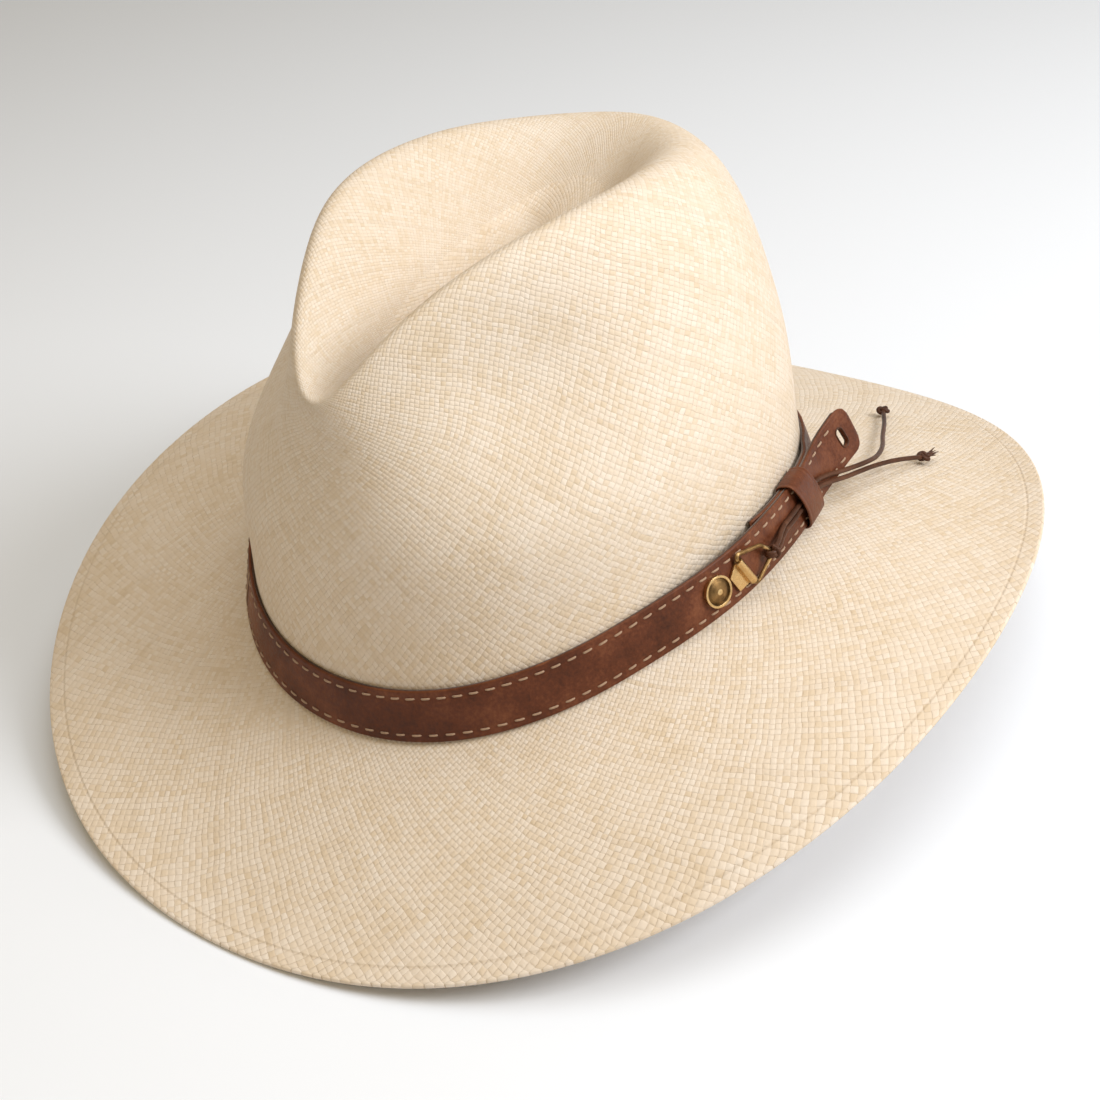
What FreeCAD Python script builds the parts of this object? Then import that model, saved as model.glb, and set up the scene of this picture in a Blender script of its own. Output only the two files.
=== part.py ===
import FreeCAD, Part
import math
import os
import Sketcher
from FreeCAD import Vector

# A straw panama hat with a leather band.
# Frame: +Z up, -Y the front of the hat, +X the wearer's left.
# Origin: middle of the brim's outline, on the surface that the brim rests on.

doc = FreeCAD.newDocument("panama_hat")

# ---------------------------------------------------------------- driving sizes (mm, degrees)
SIZES = {
    "straw_thickness": 1.6,      # one layer of plaited straw
    "crown_forward": 6.75,       # the crown sits this far in front of the brim's middle
    "brim_front": 172.0,         # crown middle to the brim's front edge, drawn by its poles
    "brim_back": 185.7,
    "brim_side": 158.3,
    "brim_side_rise": 38.4,      # how far the brim's sides curl up above its front and back
    "settle_tilt": 0.92,         # the hat settles forward until both brim ends touch down
    "crown_front": 102.5,        # foot of the crown wall, crown middle to straw
    "crown_side": 84.5,
    "foot_front": 29.5,          # height of the crown's foot above the lowest brim edge
    "foot_side": 46.5,
    "foot_back": 26.5,
    "ridge_top": 164.0,          # height that the two ridges of the crown are drawn to
    "dent_floor": 121.6,
    "band_width": 16.2,
    "leather": 0.9,              # face leather of the band
    "backing": 0.5,              # suede lining glued behind it
    "ply_gap": 0.04,
    "band_gap": 0.2,             # straw to the band's lining
    "overlap_start": 88.0,       # angle from the front at which the band's inner end lies
    "keeper_at": 103.0,          # angle of the sliding keeper
    "keeper_length": 13.5,
    "keeper_leather": 0.8,
    "keeper_gap": 0.35,          # straw to the keeper's hidden wall
    "keeper_play": 0.6,          # lets the straight keeper slide along the curved strap
    "keeper_skew": 20.0,         # the keeper sits askew, its top edge forward
    "layer_gap": 0.16,           # between the two layers of strap where they overlap
    "tail_tip_width": 9.6,
    "stitch_pitch": 5.0,
    "stitch_long": 3.1,
    "stitch_wide": 0.8,
    "stitch_high": 0.45,
    "stitch_inset": 2.3,         # stitch row to the strap's edge
    "sweat_height": 32.0,
    "sweat_leather": 0.8,
    "sweat_gap": 0.35,
    "boss_radius": 4.9,
    "boss_rim": 0.7,
    "boss_height": 1.9,
    "stem_radius": 1.1,
    "burr_radius": 3.0,
    "burr_height": 0.25,
    "clasp_plate": 0.8,
    "bar_length": 9.6,           # knuckle that holds the loop's straight side
    "knuckle_radius": 1.35,
    "wire_radius": 0.65,
    "pin_clearance": 0.07,
    "lace_radius": 0.8,
    "knot_radius": 2.6,
    "hitch_radius": 1.5,         # the lace's turns about the clasp's loop
    "hitch_strand": 0.75,
    "keeper_bow": 28.0,          # radius of the keeper's outer wall, which bows over the lace
    "keeper_edge": 5.3,          # straw to the keeper's outer wall at its edges, inside
    "keeper_half": 9.05,         # middle of the keeper to the inside of its top and bottom folds
    "keeper_fold": 0.95,         # its folds are eased by this much
    "boss_lift": 0.05,
    "boss_step": 1.45,           # top of the boss's raised rim
    "boss_field": 0.85,          # bottom of the dome inside the rim
    "boss_groove": 0.25,
    "stem_reach": 1.79,          # the stem goes through the strap and its burr
    "tongue_rest": 0.15,         # the tongue's plate stands this far off the strap
    "tongue_root": 3.0,          # half width of the tongue at the boss
    "tongue_end": 4.6,           # half width of the tongue at the knuckle
    "tongue_reach": 0.9,
    "frayed_length": 3.6,
    "frayed_radius": 1.5,
}

sheet = doc.addObject("Spreadsheet::Sheet", "sizes")
for row, (name, value) in enumerate(SIZES.items(), start=1):
    sheet.set("A%d" % row, name)
    sheet.set("B%d" % row, str(value))
    sheet.setAlias("B%d" % row, name)
doc.recompute()


def size(name):
    return float(getattr(sheet, name))


# ---------------------------------------------------------------- the straw's outer surface
# The surface is a cubic B-spline: loops of poles run round the hat, one loop inside
# the other from the brim's edge, up the crown wall, over the ridges and down into the dent.
LOOP_POLES = 24
LIFT = size("straw_thickness")
FORWARD = size("crown_forward")


def settled(x, y, z):
    """A pole in the hat's frame, from its place about the crown's middle."""
    tilt = math.radians(size("settle_tilt"))
    y, z = y * math.cos(tilt) - z * math.sin(tilt), y * math.sin(tilt) + z * math.cos(tilt)
    return Vector(x, y - FORWARD, z + LIFT)


def signed_power(value, exponent):
    return math.copysign(abs(value) ** exponent, value)


def oval_loop(front, back, side, squareness, z_front, z_side, z_back, lift_3=0.0,
              pinch=0.0, pinch_at=44.0, pinch_spread=26.0):
    """A rounded-oval loop of poles. A pinch pulls in both front quarters."""
    poles = []
    for k in range(LOOP_POLES):
        turn = 2 * math.pi * k / LOOP_POLES
        c, s = math.cos(turn), math.sin(turn)
        from_front = abs(math.degrees(math.atan2(s, c)))
        pull = pinch * math.exp(-((from_front - pinch_at) / pinch_spread) ** 2)
        reach = (front + back) / 2 + (front - back) / 2 * c
        x = side * signed_power(s, 2 / squareness) * (1 - pull)
        y = -reach * signed_power(c, 2 / squareness) * (1 - 0.6 * pull)
        z = ((z_front + z_back + 2 * z_side) / 4 + (z_front - z_back) / 2 * c
             + (z_front + z_back - 2 * z_side) / 4 * math.cos(2 * turn)
             + lift_3 * math.cos(3 * turn))
        poles.append(settled(x, y, z))
    return poles


def cosine_value(stations, turn):
    """Even smooth curve through values given every 30 degrees from front to back."""
    last = len(stations) - 1
    total = 0.0
    for m in range(last + 1):
        part = 0.0
        for k, value in enumerate(stations):
            weight = 0.5 if k in (0, last) else 1.0
            part += weight * value * math.cos(m * k * math.pi / last)
        part *= (1 if m in (0, last) else 2) / last
        total += part * math.cos(m * turn)
    return total


def sine_value(stations, turn):
    """Odd smooth curve through values given every 30 degrees; the end values are zero."""
    last = len(stations) - 1
    total = 0.0
    for m in range(1, last):
        part = sum(v * math.sin(m * k * math.pi / last) for k, v in enumerate(stations))
        total += 2 / last * part * math.sin(m * turn)
    return total


def shaped_loop(widths, places, heights):
    """A loop from half widths (x), places (y) and heights (z), every 30 degrees."""
    poles = []
    for k in range(LOOP_POLES):
        turn = 2 * math.pi * k / LOOP_POLES
        poles.append(settled(sine_value(widths, turn), cosine_value(places, turn),
                             cosine_value(heights, turn)))
    return poles


def straw_loops():
    front, back, side = size("brim_front"), size("brim_back"), size("brim_side")
    rise = size("brim_side_rise")
    foot_y, foot_x = size("crown_front"), size("crown_side")
    foot = (size("foot_front"), size("foot_side"), size("foot_back"))
    top, floor = size("ridge_top"), size("dent_floor")
    brim = [
        oval_loop(front, back, side, 2.11, -0.9, rise, -0.9, lift_3=3.1),
        oval_loop(front - 11, back - 12.5, side - 11, 2.1, 3.5, rise + 0.5, 3.0),
        oval_loop(front - 29, back - 34.5, side - 30.5, 2.1, 10.0, rise + 1.1, 9.0),
        oval_loop(front - 48, back - 59.5, side - 50.5, 2.1, 19.0, rise + 3.0, 18.0),
    ]
    wall = [
        oval_loop(foot_y + 4.5, foot_y + 4.5, foot_x + 6.5, 2.1, foot[0] - 3, foot[1] - 3.5, foot[2] - 3),
        oval_loop(foot_y, foot_y, foot_x, 2.1, foot[0] - 0.5, foot[1] - 0.5, foot[2] - 0.5),
        oval_loop(foot_y - 1.5, foot_y - 1.5, foot_x - 2.0, 2.1,
                  foot[0] + 12.5, foot[1] + 10.5, foot[2] + 13.5),
        oval_loop(99.0, 99.5, 81.5, 2.1, 64.0, 70.0, 62.0),
        oval_loop(96.0, 99.0, 80.0, 2.1, 86.0, 91.0, 88.0, pinch=-0.01, pinch_at=40.0),
        oval_loop(92.5, 97.5, 74.0, 2.1, 103.0, 110.0, 108.0, pinch=0.13, pinch_at=48.0),
        oval_loop(90.0, 93.5, 68.0, 2.1, 116.0, 131.0, 125.0, pinch=0.31, pinch_at=52.0, pinch_spread=28.0),
    ]
    shoulder = shaped_loop([0, 17, 34, 49.5, 51, 35, 0], [-89, -77, -47, -8, 38, 72, 90],
                           [top - 36, top - 30, top - 16, top - 11, top - 14, top - 21, top - 24])
    ridge = shaped_loop([0, 13, 29, 41, 38, 23, 0], [-88, -78, -46, -8, 38, 68, 83],
                        [top - 34, top - 20, top - 4.5, top - 1, top - 7.5, top - 13.5, top - 16])
    inside = shaped_loop([0, 9, 19, 28, 26, 15, 0], [-82, -71, -41, -4, 32, 58, 68],
                         [top - 36, top - 27, top - 15, top - 14, top - 17, top - 18, top - 17])
    dent_wall = shaped_loop([0, 5, 12, 17.5, 19, 13, 0], [-69, -58, -32, 0, 28, 47, 54],
                            [floor + 5.4, floor + 9.4, floor + 14.4, floor + 15.4, floor + 14.4,
                             floor + 16.4, floor + 18.4])
    dent = shaped_loop([0, 3, 7, 10, 12, 8, 0], [-45, -38, -20, 2, 22, 34, 38],
                       [floor + 2.4, floor + 1.4, floor + 0.4, floor - 0.6, floor + 0.4,
                        floor + 5.4, floor + 10.4])
    tip = shaped_loop([0, 1, 1.7, 2, 1.7, 1, 0], [3, 3.3, 4, 5, 6, 6.7, 7], [floor - 1.6] * 7)
    return brim + wall + [shoulder, ridge, inside, dent_wall, dent, tip]


def spline_surface(loops):
    """Cubic surface, closed round the loops and clamped at the edge and at the tip."""
    across = len(loops)
    surface = Part.BSplineSurface()
    round_knots = [float(k) for k in range(LOOP_POLES + 1)]
    across_knots = [float(k) for k in range(across - 2)]
    net = [[loops[row][(k - 1) % LOOP_POLES] for row in range(across)] for k in range(LOOP_POLES)]
    surface.buildFromPolesMultsKnots(
        net, [1] * len(round_knots), [4] + [1] * (across - 4) + [4],
        round_knots, across_knots, True, False, 3, 3)
    return surface


LOOPS = straw_loops()
OUTER = spline_surface(LOOPS)
ACROSS_END = float(len(LOOPS) - 3)


def straw_normal(turn, across):
    """Unit normal on the visible side: up on the brim, outward on the crown."""
    step = 0.01
    round_dir = (OUTER.value((turn + step) % LOOP_POLES, across)
                 - OUTER.value((turn - step) % LOOP_POLES, across))
    low = max(across - step, 0.0)
    high = min(across + step, ACROSS_END)
    across_dir = OUTER.value(turn % LOOP_POLES, high) - OUTER.value(turn % LOOP_POLES, low)
    normal = round_dir.cross(across_dir)
    return normal.normalize()


def greville(row, rows):
    """Across parameter that one loop of poles shapes most."""
    knots = [0.0] * 4 + [float(k) for k in range(1, rows - 3)] + [float(rows - 3)] * 4
    return sum(knots[row + 1:row + 4]) / 3


def inner_loops(depth):
    """The same loops moved to the hidden side of the straw by its thickness."""
    loops = []
    for row, poles in enumerate(LOOPS):
        if row == len(LOOPS) - 1:
            loops.append([pole - Vector(0, 0, depth) for pole in poles])
            continue
        across = greville(row, len(LOOPS))
        loops.append([pole - straw_normal(float(k), across) * depth for k, pole in enumerate(poles)])
    return loops


def solid_from_faces(faces):
    shell = Part.makeShell(faces)
    shell.sewShape()
    solid = Part.Solid(Part.Shell(shell.Faces))
    if solid.Volume < 0:
        solid.reverse()
    return solid


def straw_solid():
    inner = spline_surface(inner_loops(size("straw_thickness")))
    faces = [OUTER.toShape(), inner.toShape()]
    outer_edge, inner_edge = OUTER.vIso(0.0).toShape(), inner.vIso(0.0).toShape()
    faces.append(Part.makeRuledSurface(outer_edge, inner_edge))
    for surface in (OUTER, inner):
        faces.append(Part.Face(Part.Wire([surface.vIso(ACROSS_END).toShape()])))
    return solid_from_faces(faces)


# ---------------------------------------------------------------- frames along the crown's foot
def turn_of(angle):
    """Round parameter of the surface at an angle from the front, towards the wearer's left."""
    return (angle / 360.0 * LOOP_POLES) % LOOP_POLES


def foot_height(angle):
    """Height of the band's lower edge: higher at the sides, where the brim curls up."""
    front, side, back = size("foot_front"), size("foot_side"), size("foot_back")
    a = math.radians(angle)
    z = ((front + back + 2 * side) / 4 + (front - back) / 2 * math.cos(a)
         + (front + back - 2 * side) / 4 * math.cos(2 * a))
    y = -size("crown_front") * math.cos(a)
    return z - 1.0 + LIFT + y * math.sin(math.radians(size("settle_tilt")))


def across_at(turn, test, low, high):
    """Bisect the across parameter where test changes from below to above zero."""
    for _ in range(30):
        middle = (low + high) / 2
        if test(OUTER.value(turn, middle)) < 0:
            low = middle
        else:
            high = middle
    return (low + high) / 2


WALL_LOW, WALL_HIGH = 2.2, 7.5


KNOWN_FRAMES = {}


def wall_frame(angle):
    """Foot point, top point, outward normal and tangent of the wall under the band."""
    key = round(angle % 360.0, 5)
    if key not in KNOWN_FRAMES:
        KNOWN_FRAMES[key] = find_wall_frame(key)
    return KNOWN_FRAMES[key]


def find_wall_frame(angle):
    turn = turn_of(angle)
    foot_z = foot_height(angle)
    low = across_at(turn, lambda p: p.z - foot_z, WALL_LOW, WALL_HIGH)
    foot = OUTER.value(turn, low)
    high = across_at(turn, lambda p: (p - foot).Length - size("band_width"), low, WALL_HIGH)
    top = OUTER.value(turn, high)
    ahead = OUTER.value(turn_of(angle + 0.5), low) - OUTER.value(turn_of(angle - 0.5), low)
    ahead.normalize()
    up = (top - foot).normalize()
    outward = ahead.cross(up).normalize()
    return foot, top, outward, ahead


# ---------------------------------------------------------------- the band's course
# The strap starts under its own overlap on the wearer's left, runs by the back, the right
# and the front, laps over its start and ends in a free tail past the keeper.
PLY = size("backing") + size("ply_gap") + size("leather")
KEEPER_STAND = size("keeper_gap") + size("keeper_leather") + size("keeper_play")
LAP_STAND = KEEPER_STAND + PLY + size("layer_gap")
START = size("overlap_start")
KEEPER_PATH = 360.0 + size("keeper_at")
TAIL_PATH = KEEPER_PATH + 5.0


def smooth_step(value):
    value = min(max(value, 0.0), 1.0)
    return value * value * (3 - 2 * value)


def strap_stand(path):
    """Distance of the strap's hidden face from the straw at a path angle."""
    if path < 360.0 + 40.0:
        near_keeper = 1 - smooth_step((abs(path - size("keeper_at")) - 9.0) / 9.0)
        return size("band_gap") + (KEEPER_STAND - size("band_gap")) * near_keeper
    climb = smooth_step((path - 360.0 - 56.0) / 28.0)
    return size("band_gap") + (LAP_STAND - size("band_gap")) * climb


def strap_middle(path, depth):
    """Middle of the strap's width, depth above its hidden face, and its up direction."""
    foot, top, outward, _ = wall_frame(path)
    middle = (foot + top) * 0.5 + outward * (strap_stand(path) + depth)
    return middle, (top - foot).normalize()


def strap_frame(path, depth=PLY):
    """Origin, along, up and outward on the strap at a path angle."""
    here, up = strap_middle(path, depth)
    along = (strap_middle(path + 0.5, depth)[0] - strap_middle(path - 0.5, depth)[0]).normalize()
    outward = along.cross(up).normalize()
    return here, along, outward.cross(along).normalize(), outward


# Free tail: a curve from the keeper to the tip, with the strap's lower edge turning outward.
TAIL_TIP = Vector(82.6, 56.0, 59.4)
TAIL_END_ALONG = Vector(0.05, 0.99, 0.1).normalize()
TAIL_END_UP = Vector(-0.42, -0.06, 0.9).normalize()


def tail_frame(part):
    """Frame on the hidden face of the tail; part runs from 0 at the keeper to 1 at the tip."""
    begin, along, up, _ = strap_frame(TAIL_PATH, 0.0)
    reach = (TAIL_TIP - begin).Length
    controls = [begin, begin + along * reach * 0.35, TAIL_TIP - TAIL_END_ALONG * reach * 0.35, TAIL_TIP]
    rest = 1 - part
    weights = [rest ** 3, 3 * rest ** 2 * part, 3 * rest * part ** 2, part ** 3]
    here = sum((c * w for c, w in zip(controls, weights)), Vector())
    slopes = [rest ** 2, 2 * rest * part, part ** 2]
    course = sum(((controls[k + 1] - controls[k]) * w for k, w in enumerate(slopes)), Vector()).normalize()
    lean = smooth_step(part)
    raised = (up * (1 - lean) + TAIL_END_UP * lean).normalize()
    outward = course.cross(raised).normalize()
    return here, course, outward.cross(course).normalize(), outward


def strap_sections(inner_depth, outer_depth):
    """Four-cornered sections of one ply of the strap, from its hidden start to the tail's tip."""
    half = size("band_width") / 2
    sections = []
    steps = 94
    for k in range(steps + 1):
        path = START + (TAIL_PATH - START) * k / steps
        foot, top, outward, _ = wall_frame(path)
        near = outward * (strap_stand(path) + inner_depth)
        far = outward * (strap_stand(path) + outer_depth)
        sections.append([foot + near, top + near, top + far, foot + far])
    taper_from = 0.86
    tail_steps = 14
    for k in range(1, tail_steps + 1):
        part = k / tail_steps
        here, _, up, outward = tail_frame(part)
        narrow = max(0.0, (part - taper_from) / (1 - taper_from))
        reach = half + (size("tail_tip_width") / 2 - half) * narrow
        low, high = here - up * reach, here + up * reach
        sections.append([low + outward * inner_depth, high + outward * inner_depth,
                         high + outward * outer_depth, low + outward * outer_depth])
    return sections


def rail(points):
    curve = Part.BSplineCurve()
    curve.interpolate(points)
    return curve.toShape()


def strip_solid(sections):
    """A long strip with four-cornered sections."""
    rails = [rail([section[corner] for section in sections]) for corner in range(4)]
    faces = [Part.makeRuledSurface(rails[k], rails[(k + 1) % 4]) for k in range(4)]
    for section in (sections[0], sections[-1]):
        faces.append(Part.Face(Part.makePolygon(section + [section[0]])))
    return solid_from_faces(faces)


def placement_on(origin, x_axis, y_axis, z_axis):
    matrix = FreeCAD.Matrix(x_axis.x, y_axis.x, z_axis.x, origin.x,
                            x_axis.y, y_axis.y, z_axis.y, origin.y,
                            x_axis.z, y_axis.z, z_axis.z, origin.z,
                            0, 0, 0, 1)
    return FreeCAD.Placement(matrix)


SLOT_LONG, SLOT_WIDE, SLOT_AT = 6.4, 3.0, 0.78   # slot across the tail, and its place along it


def slot_cutter():
    """Oval slot across the tail near its tip."""
    here, along, up, outward = tail_frame(SLOT_AT)
    radius = SLOT_WIDE / 2
    arm = SLOT_LONG / 2 - radius
    cylinders = []
    for side in (-1, 1):
        cylinders.append(Part.makeCylinder(radius, 8.0, Vector(0, side * arm, -4.0)))
    bar = Part.makeBox(SLOT_WIDE, 2 * arm, 8.0, Vector(-radius, -arm, -4.0))
    cutter = bar.fuse(cylinders).removeSplitter()
    cutter.Placement = placement_on(here, along, up, outward)
    return cutter


BOSS_PATH = 435.0
BAR_PATH = 441.0


def strap_solid(inner_depth, outer_depth):
    """One ply of the strap, with the tail's slot and the hole for the clasp's stem."""
    here, along, up, outward = strap_frame(BOSS_PATH)
    hole = Part.makeCylinder(size("stem_radius") + size("pin_clearance"), 8.0, Vector(0, 0, -4.0))
    hole.Placement = placement_on(here, along, up, outward)
    return strip_solid(strap_sections(inner_depth, outer_depth)).cut([slot_cutter(), hole]).Solids[0]


# ---------------------------------------------------------------- small repeated pieces
def block_on(frame, long, wide, high, lift):
    """A small block lying on a surface, its length along the frame's first direction."""
    origin, along, up, outward = frame
    block = Part.makeBox(long, wide, high, Vector(-long / 2, -wide / 2, lift))
    block.Placement = placement_on(origin, along, up, outward)
    return block


STITCH_LIFT = 0.06
FIRST_STITCH = START + 46.0          # path angle where the outer ply's stitches begin
LAST_STITCH = TAIL_PATH - 1.5
TAIL_STITCHES = (0.12, 0.29, 0.46, 0.63)   # shares of the tail's length


def strap_stitches(side):
    """One row of stitches on the strap's face; side is +1 for the upper row, -1 for the lower."""
    row = side * (size("band_width") / 2 - size("stitch_inset"))
    stitches = []
    path = FIRST_STITCH
    while path < LAST_STITCH:
        here, along, up, outward = strap_frame(path)
        stitches.append(block_on((here + up * row, along, up, outward), size("stitch_long"),
                                 size("stitch_wide"), size("stitch_high"), STITCH_LIFT))
        ahead = strap_frame(path + 1.0)[0]
        path += size("stitch_pitch") / (ahead - here).Length
    for part in TAIL_STITCHES:
        here, along, up, outward = tail_frame(part)
        on_face = here + up * row + outward * PLY
        stitches.append(block_on((on_face, along, up, outward), size("stitch_long"),
                                 size("stitch_wide"), size("stitch_high"), STITCH_LIFT))
    return Part.makeCompound(stitches)


TACK_ANGLES = (320.0, 232.0, 180.0)   # thread tacks that hold the band down
TACK_SHARE, TACK_WIDE, TACK_HIGH, TACK_LIFT = 0.98, 0.7, 0.4, 0.55


def tack_bars():
    bars = []
    for angle in TACK_ANGLES:
        here, along, up, outward = strap_frame(angle)
        frame = (here, up, along * -1, outward)
        bars.append(block_on(frame, size("band_width") * TACK_SHARE, TACK_WIDE, TACK_HIGH, TACK_LIFT))
    return Part.makeCompound(bars)


# ---------------------------------------------------------------- sweatband
JOIN_GAP = 0.6          # degrees left open at the back, where the ends meet
SWEAT_ROWS = 5
SWEAT_STITCHES, SWEAT_STITCH_MARGIN = 124, 1.6      # count, and degrees left free at the join
SWEAT_STITCH = (2.5, 0.6, 0.3)                      # long, wide, high


def sweat_point(angle, share, depth):
    """Point on the sweatband; share runs up its height, depth goes inward from the straw's outside."""
    turn = turn_of(angle)
    foot_z = foot_height(angle) + 1.5
    low = across_at(turn, lambda p: p.z - foot_z, WALL_LOW, WALL_HIGH)
    foot = OUTER.value(turn, low)
    high = across_at(turn, lambda p: (p - foot).Length - size("sweat_height"), low, WALL_HIGH + 2)
    across = low + (high - low) * share
    return OUTER.value(turn, across) - straw_normal(turn, across) * depth


def sweat_surface(depth):
    steps = 72
    grid = []
    for k in range(steps + 1):
        angle = 180.0 + JOIN_GAP + (360.0 - 2 * JOIN_GAP) * k / steps
        grid.append([sweat_point(angle, row / (SWEAT_ROWS - 1), depth) for row in range(SWEAT_ROWS)])
    surface = Part.BSplineSurface()
    surface.interpolate(grid)
    return surface


def sweatband_solid():
    outside = size("straw_thickness") + size("sweat_gap")
    outer, inner = sweat_surface(outside), sweat_surface(outside + size("sweat_leather"))
    faces = [outer.toShape(), inner.toShape()]
    u_first, u_last, v_first, v_last = outer.bounds()
    for u in (u_first, u_last):
        faces.append(Part.makeRuledSurface(outer.uIso(u).toShape(), inner.uIso(u).toShape()))
    for v in (v_first, v_last):
        faces.append(Part.makeRuledSurface(outer.vIso(v).toShape(), inner.vIso(v).toShape()))
    return solid_from_faces(faces)


def sweat_frame(angle):
    """Frame at the sweatband's stitch row, its last direction pointing into the hat."""
    depth = size("straw_thickness") + size("sweat_gap") + size("sweat_leather")
    row, step = 0.07, 0.04
    here = sweat_point(angle, row, depth)
    along = (sweat_point(angle - 0.5, row, depth) - sweat_point(angle + 0.5, row, depth)).normalize()
    up = (sweat_point(angle, row + step, depth) - sweat_point(angle, row - step, depth)).normalize()
    inward = along.cross(up).normalize()
    return here, along, inward.cross(along).normalize(), inward


def sweat_stitches():
    stitches = []
    turn = 360.0 - 2 * SWEAT_STITCH_MARGIN
    for k in range(SWEAT_STITCHES):
        angle = 180.0 + SWEAT_STITCH_MARGIN + turn * k / (SWEAT_STITCHES - 1)
        stitches.append(block_on(sweat_frame(angle), *SWEAT_STITCH, 2 * STITCH_LIFT))
    return Part.makeCompound(stitches)


# ---------------------------------------------------------------- document objects
def add_shape(name, shape):
    """A sub-part whose shape is worked out above."""
    feature = doc.addObject("Part::Feature", name)
    feature.Shape = shape
    return feature


def bound(feature, **rules):
    """Bind a feature's properties to the sheet."""
    for prop, rule in rules.items():
        feature.setExpression(prop, rule)
    return feature


def origin_plane(body, role):
    for feature in body.Origin.OriginFeatures:
        if feature.Role == role:
            return feature
    raise ValueError(role)


def new_sketch(body, role, name):
    sketch = body.newObject("Sketcher::SketchObject", name)
    sketch.AttachmentSupport = (origin_plane(body, role), [""])
    sketch.MapMode = "FlatFace"
    return sketch


def measure(rule):
    """Value and sheet expression of a rule such as 'boss_radius - boss_rim'."""
    value, sign, words = 0.0, 1.0, []
    for word in rule.split():
        if word in ("+", "-"):
            sign = 1.0 if word == "+" else -1.0
            words.append(word)
        else:
            value += sign * size(word)
            words.append("sizes." + word)
    return value, " ".join(words)


H_AXIS, V_AXIS, ORIGIN, START_POINT, END_POINT, CENTRE_POINT = -1, -2, -1, 1, 2, 3


def pin_coordinate(sketch, geometry, kind, rule, axis):
    """Hold one coordinate of an edge's start point to its rule; an empty rule means zero."""
    if not rule:
        sketch.addConstraint(Sketcher.Constraint("PointOnObject", geometry, START_POINT, axis))
        return
    value, expression = measure(rule)
    pin = Sketcher.Constraint(kind, ORIGIN, START_POINT, geometry, START_POINT, value)
    index = sketch.addConstraint(pin)
    label = "%s_%d" % (kind.lower(), geometry)
    sketch.renameConstraint(index, label)
    sketch.setExpression("Constraints." + label, expression)


def dome_radius(edge, top):
    """Radius of an arc that meets the vertical axis at its top, square to it."""
    rise = top.y - edge.y
    return (edge.x ** 2 + rise ** 2) / (2 * rise)


def profile(sketch, corners, bows):
    """Closed profile; bows names each edge that is an arc, by its first corner.

    Its value is the arc's radius rule, or empty for a dome centred on the vertical axis.
    """
    places = [Vector(measure(x)[0] if x else 0, measure(y)[0] if y else 0, 0) for x, y in corners]
    first = sketch.GeometryCount
    count = len(places)
    for k, place in enumerate(places):
        following = places[(k + 1) % count]
        if k not in bows:
            sketch.addGeometry(Part.LineSegment(place, following))
            continue
        half = (following - place) * 0.5
        radius = measure(bows[k])[0] if bows[k] else dome_radius(place, following)
        side = Vector(half.y, -half.x, 0).normalize()
        sag = radius - math.sqrt(radius ** 2 - half.Length ** 2)
        sketch.addGeometry(Part.Arc(place, place + half + side * sag, following))
    for k in range(count):
        sketch.addConstraint(Sketcher.Constraint("Coincident", first + k, END_POINT,
                                                 first + (k + 1) % count, START_POINT))
    for k, (x_rule, y_rule) in enumerate(corners):
        pin_coordinate(sketch, first + k, "DistanceX", x_rule, V_AXIS)
        pin_coordinate(sketch, first + k, "DistanceY", y_rule, H_AXIS)
    for k, rule in bows.items():
        if not rule:
            sketch.addConstraint(Sketcher.Constraint("PointOnObject", first + k, CENTRE_POINT, V_AXIS))
            continue
        index = sketch.addConstraint(Sketcher.Constraint("Radius", first + k, measure(rule)[0]))
        sketch.renameConstraint(index, "bow_%d" % (first + k))
        sketch.setExpression("Constraints.bow_%d" % (first + k), measure(rule)[1])


def add_circle(sketch, height_rule, radius_rule, label):
    """Circle on the sketch's vertical axis."""
    height, height_expression = measure(height_rule)
    radius, radius_expression = measure(radius_rule)
    geometry = sketch.addGeometry(Part.Circle(Vector(0, height, 0), Vector(0, 0, 1), radius))
    sketch.addConstraint(Sketcher.Constraint("PointOnObject", geometry, CENTRE_POINT, V_AXIS))
    index = sketch.addConstraint(Sketcher.Constraint("DistanceY", ORIGIN, START_POINT,
                                                     geometry, CENTRE_POINT, height))
    sketch.renameConstraint(index, label + "_height")
    sketch.setExpression("Constraints.%s_height" % label, height_expression)
    index = sketch.addConstraint(Sketcher.Constraint("Radius", geometry, radius))
    sketch.renameConstraint(index, label + "_radius")
    sketch.setExpression("Constraints.%s_radius" % label, radius_expression)


# ---------------------------------------------------------------- straw, sweatband and band
straw_body = add_shape("straw_body", straw_solid())
sweatband = add_shape("sweatband", sweatband_solid())
sweatband_thread = add_shape("sweatband_thread", sweat_stitches())
band_backing = add_shape("band_backing", strap_solid(0.0, size("backing")))
band_strap = add_shape("band_strap", strap_solid(size("backing") + size("ply_gap"), PLY))
band_thread_upper = add_shape("band_thread_upper", strap_stitches(1))
band_thread_lower = add_shape("band_thread_lower", strap_stitches(-1))
band_tacks = add_shape("band_tacks", tack_bars())


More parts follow.
